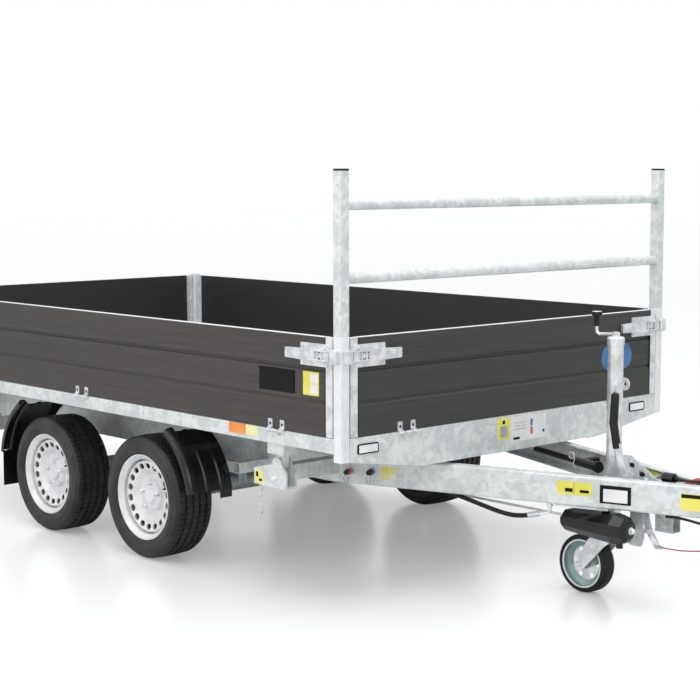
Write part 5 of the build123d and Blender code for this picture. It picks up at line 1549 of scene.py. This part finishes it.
@dataclass
class Jockey:
    """Jockey wheel: thin grooved tyre on a deep pressed rim, clamp, crank knob and bolts."""

    axle: Point = (1.221, 0.030, 0.115)
    outer: float = 0.115
    half: float = 0.036
    rim: float = 0.094
    wall: float = 0.003
    hub: float = 0.024
    holes: int = 6
    hole_circle: float = 0.055
    hole_radius: float = 0.0105
    web: float = 0.067
    nut_out: float = 0.0526
    jack: Flat = (1.346, 0.030)
    clamp_ahead: float = 0.048
    clamp_z: float = 0.438
    clamp_run: Flat = (0.026, 0.070)
    clamp_bar: float = 0.034
    crank_reach: float = 0.092
    knob: tuple[Flat, ...] = ((0.0, 1.0425), (0.0098, 1.0425), (0.0108, 1.046), (0.0108, 1.080), (0.0196, 1.0835),
                              (0.0202, 1.090), (0.0196, 1.0965), (0.0150, 1.1015), (0.0, 1.1022))

    def tyre(self) -> None:
        """Solid tyre with four grooves, for its plain CAD ring."""
        out, h = self.outer, self.half
        rows: list[Flat] = [(self.rim + 0.0002, -h + 0.004), (self.rim + 0.003, -h + 0.0005),
                            (self.rim + 0.007, -h), (out - 0.009, -h + 0.0012), (out - 0.004, -h + 0.0045),
                            (out - 0.0014, -h + 0.010)]
        for middle in (-0.0180, -0.0060, 0.0060, 0.0180):
            rows += [(out - 0.0002, middle - 0.0020), (out - 0.0045, middle - 0.0013),
                     (out - 0.0045, middle + 0.0013), (out - 0.0002, middle + 0.0020)]
        rows += [(out - 0.0014, h - 0.010), (out - 0.004, h - 0.0045), (out - 0.009, h - 0.0012),
                 (self.rim + 0.007, h), (self.rim + 0.003, h - 0.0005), (self.rim + 0.0002, h - 0.004)]
        made = Shop.piece("grooved_jockey_tyre", Shop.lathe(rows, self.axle, "y", 96), RUBBER, Body.ROLLER)
        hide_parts("caster_tyre")

    def pierced_sector(self) -> bmesh.types.BMesh:
        """One sector of the rim's disc with a round hole, about the Y axis.

        Returns:
            The sector, as a thin open plate with its hole's wall.
        """
        mesh = bmesh.new()
        spread = math.pi / self.holes
        low, high = self.hub - 0.001, self.rim - self.wall + 0.0005
        steps = [step / 6.0 for step in range(6)]
        edge = [(high, spread * (2.0 * s - 1.0)) for s in steps]
        edge += [(high + (low - high) * s, spread) for s in steps]
        edge += [(low, spread * (1.0 - 2.0 * s)) for s in steps]
        edge += [(low + (high - low) * s, -spread) for s in steps]
        outline = [(radius * math.cos(turn), radius * math.sin(turn)) for radius, turn in edge]
        hole = []
        for x, z in outline:
            way = Vector((x - self.hole_circle, z)).normalized() * self.hole_radius
            hole.append((self.hole_circle + way.x, way.y))
        layers = [[[mesh.verts.new((x, y, -z)) for x, z in ring] for ring in (outline, hole)]
                  for y in (-0.0035, -0.0005)]
        count = len(outline)
        for place in range(count):
            after = (place + 1) % count
            (a, b), (c, d) = layers
            mesh.faces.new((a[place], a[after], b[after], b[place]))
            mesh.faces.new((c[place], d[place], d[after], c[after]))
            mesh.faces.new((b[place], b[after], d[after], d[place]))
        return mesh

    def pressed_rim(self) -> None:
        """Rim barrel with hub and pierced disc, for the plain CAD rim."""
        w, r, t, hub = self.half - 0.004, self.rim, self.wall, self.hub
        barrel = [(r, -w), (r, w), (r - t, w), (r - t - 0.002, w - 0.006), (r - t, 0.010),
                  (self.web + 0.001, 0.003), (self.web, -0.007), (r - t, -0.014), (r - t - 0.002, -w + 0.006),
                  (r - t, -w)]
        core = [(0.0081, -w - 0.001), (hub - 0.006, -w - 0.001), (hub - 0.004, -w + 0.004), (hub, -0.006),
                (hub, 0.002), (hub - 0.004, w - 0.004), (hub - 0.006, w + 0.001), (0.0081, w + 0.001)]
        solids = [Shop.lathe(rows, self.axle, "y", 72) for rows in (barrel, core)]
        made = Shop.piece("jockey_rim", Shop.join(solids), CASTER, Body.ROLLER)
        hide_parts("caster_rim")
        disc = Trees.ring().grow("jockey_disc", self.pierced_sector(), ZINC, Body.ROLLER,
                                 Matrix.Translation(Vector(self.axle)), Count=self.holes)
        Shop.outward(disc.data)

    def rim_edges(self) -> None:
        """White rings as painted highlights on the rolled edges of both sides of the rim, and the axle's nuts."""
        rings = []
        for way in (-1.0, 1.0):
            y = way * (self.half - 0.0045)
            rows = [(self.rim - 0.0050, y - 0.0016), (self.rim + 0.0016, y - 0.0016),
                    (self.rim + 0.0026, y), (self.rim + 0.0016, y + 0.0016), (self.rim - 0.0050, y + 0.0016)]
            rings.append(Shop.lathe(rows, self.axle, "y", 72))
        Shop.piece("jockey_rim_edge_highlights", Shop.join(rings), FILM_WHITE, Body.ROLLER)
        x, y, z = self.axle
        for name, way in SIDES:
            Screws(f"jockey_axle_nut_{name}", Body.FORK, [(x, y + way * self.nut_out, z)], (0.0, way, 0.0),
                   head=0.0095, height=0.0048, washer=0.0125, washer_height=0.0012).build()

    def clamp(self) -> None:
        """Clamp bolt and T-bar on the jack's bracket."""
        x, y = self.jack[0] + self.clamp_ahead, self.jack[1]
        bar = Shop.tube([(x, y + run, self.clamp_z) for run in self.clamp_run], [0.007] * 2, 16)
        cross = Shop.tube([(x, y + self.clamp_run[1] - 0.002, self.clamp_z + up)
                           for up in (-self.clamp_bar, self.clamp_bar)], [0.0055] * 2, 14)
        Shop.piece("jack_clamp_screw", Shop.join([bar, cross]), ZINC, Body.CHASSIS, 0.0008)

    def crank_grip(self) -> None:
        """Black knob and grip over the crank's end."""
        knob = Shop.lathe(self.knob, (self.jack[0] - self.crank_reach, self.jack[1], 0.0), "z", 40)
        Shop.piece("crank_grip", knob, RUBBER, Body.CHASSIS)

    def build(self) -> None:
        """Dress the jockey wheel."""
        self.tyre()
        self.pressed_rim()
        self.rim_edges()
        self.clamp()
        self.crank_grip()


@dataclass
class Handbrake:
    """Black grip of the handbrake, and black films as painted shade in the holes of its quadrant."""

    y: float = -0.0553
    line: tuple[Flat, ...] = ((1.4277, 0.5985), (1.4264, 0.604), (1.4165, 0.651), (1.4085, 0.692),
                              (1.4112, 0.745), (1.4140, 0.798), (1.4143, 0.8045), (1.4145, 0.8090))
    radii: tuple[float, ...] = (0.0140, 0.0156, 0.0158, 0.0160, 0.0158, 0.0156, 0.0130, 0.0055)
    ribbed: tuple[Flat, Flat] = ((1.4090, 0.700), (1.4128, 0.772))
    holes: tuple[Flat, Flat] = ((1.493, 0.545), (1.539, 0.515))
    faces: tuple[Flat, Flat] = ((-0.0503, -0.0500), (-0.0440, -0.0437))
    bolt: Flat = (1.560, 0.497)

    def grip(self) -> None:
        """Bent moulded grip over the lever."""
        line = [(x, self.y, z) for x, z in self.line]
        Shop.piece("handbrake_grip", Shop.tube(line, self.radii, 24), RUBBER, Body.CHASSIS)
        Hoops("handbrake_grip_ribs", Body.CHASSIS, [(x, self.y, z) for x, z in self.ribbed], 9,
              0.0154, 0.0014, RUBBER).build()

    def quadrant_holes(self) -> None:
        """Black films as painted shade in the oval holes of the quadrant's face."""
        holes = []
        for x, z in self.holes:
            flat = [(a + x, b + z) for a, b in Shop.rounded(0.022, 0.016, 0.0078, 6)]
            holes += [Shop.prism(flat, low, high, "y") for low, high in self.faces]
        Shop.piece("quadrant_holes", Shop.join(holes), FILM_BLACK, Body.CHASSIS)
        Screws("quadrant_bolts", Body.CHASSIS, [(self.bolt[0], self.faces[0][0], self.bolt[1])], RIGHTWARD,
               head=0.008, height=0.005).build()

    def build(self) -> None:
        """Dress the handbrake."""
        self.grip()
        self.quadrant_holes()


@dataclass
class Coupling:
    """Fittings of the overrun housing and the ball coupling."""

    bolt_x: Flat = (2.216, 2.246)
    bolt_z: float = 0.447
    head_half: float = 0.040
    sleeve_y: float = 0.014
    sleeve_line: tuple[Flat, ...] = ((1.700, 0.492), (1.716, 0.503), (1.740, 0.512), (1.770, 0.517),
                                     (1.800, 0.518), (1.830, 0.516), (1.856, 0.508), (1.872, 0.494))
    sleeve_radius: float = 0.0085

    def bolts(self) -> None:
        """Cross bolts of the coupling head."""
        for name, way in SIDES:
            places = [Shop.seat("coupling_head", (x, way * self.head_half, self.bolt_z), (0.0, way, 0.0))
                      for x in self.bolt_x]
            Screws(f"head_bolts_{name}", Body.CHASSIS, places, (0.0, way, 0.0),
                   head=0.0095, height=0.007, washer=0.012, washer_height=0.002).build()

    def sleeve(self) -> None:
        """Orange-red sleeve over the housing's nose."""
        line = [(x, self.sleeve_y, z) for x, z in self.sleeve_line]
        Shop.piece("orange_red_sleeve", Shop.tube(line, [self.sleeve_radius] * len(line), 20), RED_SLEEVE,
                   Body.CHASSIS)

    def build(self) -> None:
        """Dress the coupling."""
        self.bolts()
        self.sleeve()


@dataclass
class Pivots:
    """Bolts through the cheeks of the tipping pivots' beams."""

    spots: tuple[Flat, ...] = ((0.468, 0.464),)
    beam_half: float = 0.923

    def build(self) -> None:
        """Make the bolts on both sides."""
        for name, way in SIDES:
            places = [Shop.seat("pivot_beams", (x, way * self.beam_half, z), (0.0, way, 0.0)) for x, z in self.spots]
            Screws(f"pivot_bolts_{name}", Body.CHASSIS, places, (0.0, way, 0.0),
                   head=0.0110, height=0.008, washer=0.016, washer_height=0.002).build()


@dataclass
class RearLights:
    """Lens panes of the two tail lamps."""

    face: float = -2.309
    middle: float = 0.335
    height: float = 0.084
    inner: float = 0.680
    outer: float = 0.910
    proud: float = 0.004
    sunk: float = 0.0005
    panes: tuple[tuple[float, float, Finish], ...] = (
        (0.03, 0.36, LENS_AMBER), (0.375, 0.76, LENS_RED), (0.775, 0.97, LENS_CLEAR))

    def build(self) -> None:
        """Make red, amber and clear panes for both lamps."""
        span = self.outer - self.inner
        for low, high, finish in self.panes:
            solids = []
            for way in (-1.0, 1.0):
                middle = way * (self.outer - (low + high) / 2.0 * span)
                flat = [(a + middle, b + self.middle)
                        for a, b in Shop.rounded((high - low) * span, self.height, 0.008)]
                solids.append(Shop.prism(flat, self.face - self.proud, self.face + self.sunk, "x"))
            Shop.piece(f"tail_{finish.name}_panes", Shop.join(solids), finish, Body.CHASSIS, 0.0015)


@dataclass
class Hydraulics:
    """Small parts of the hand pump and tank."""

    clip: Point = (1.010, 0.205, 0.462)
    ring: float = 0.013
    wire: float = 0.0018
    leg: tuple[Point, ...] = ((0.012, -0.0205, 0.026), (0.016, -0.0215, 0.012), (0.010, -0.0215, 0.0),
                              (0.016, -0.0210, -0.012), (0.020, -0.019, -0.024))
    plug: Point = (1.581, -0.165, 0.325)

    def pump_clip(self) -> None:
        """Spring clip with its ring across the pump's barrel."""
        x, y, z = self.clip
        ring = [(x + self.ring * math.cos(turn), y - 0.021, z + 0.030 + self.ring * math.sin(turn))
                for turn in [math.tau * step / 20 for step in range(21)]]
        leg = [(x + a, y + b, z + c) for a, b, c in self.leg]
        wires = [Shop.tube(line, [self.wire] * len(line), 8) for line in (ring, leg)]
        Shop.piece("pump_spring_clip", Shop.join(wires), ZINC, Body.CHASSIS)

    def tank_plug(self) -> None:
        """Filler plug on the tank's front end."""
        Screws("tank_plug", Body.CHASSIS, [Shop.seat("pump_tank", self.plug, FORWARD)], FORWARD,
               head=0.0110, height=0.010, washer=0.014, washer_height=0.002).build()

    def build(self) -> None:
        """Dress the pump and its tank."""
        self.pump_clip()
        self.tank_plug()


def main() -> None:
    """Build the trailer's looks in order."""
    logging.basicConfig(level=logging.INFO, format="%(message)s")
    Studio().build()
    Cords().build()
    dress_nodes()
    for place in ("front", "rear"):
        for side in ("left", "right"):
            RoadWheel(place, side).build()
    for assembly in (BoardTrim(), Signs(), LockPins(), Jockey(), Handbrake(), Coupling(), Pivots(), RearLights(),
                     Hydraulics()):
        assembly.build()
        LOG.info("built %s", type(assembly).__name__)


if __name__ == "__main__":
    main()
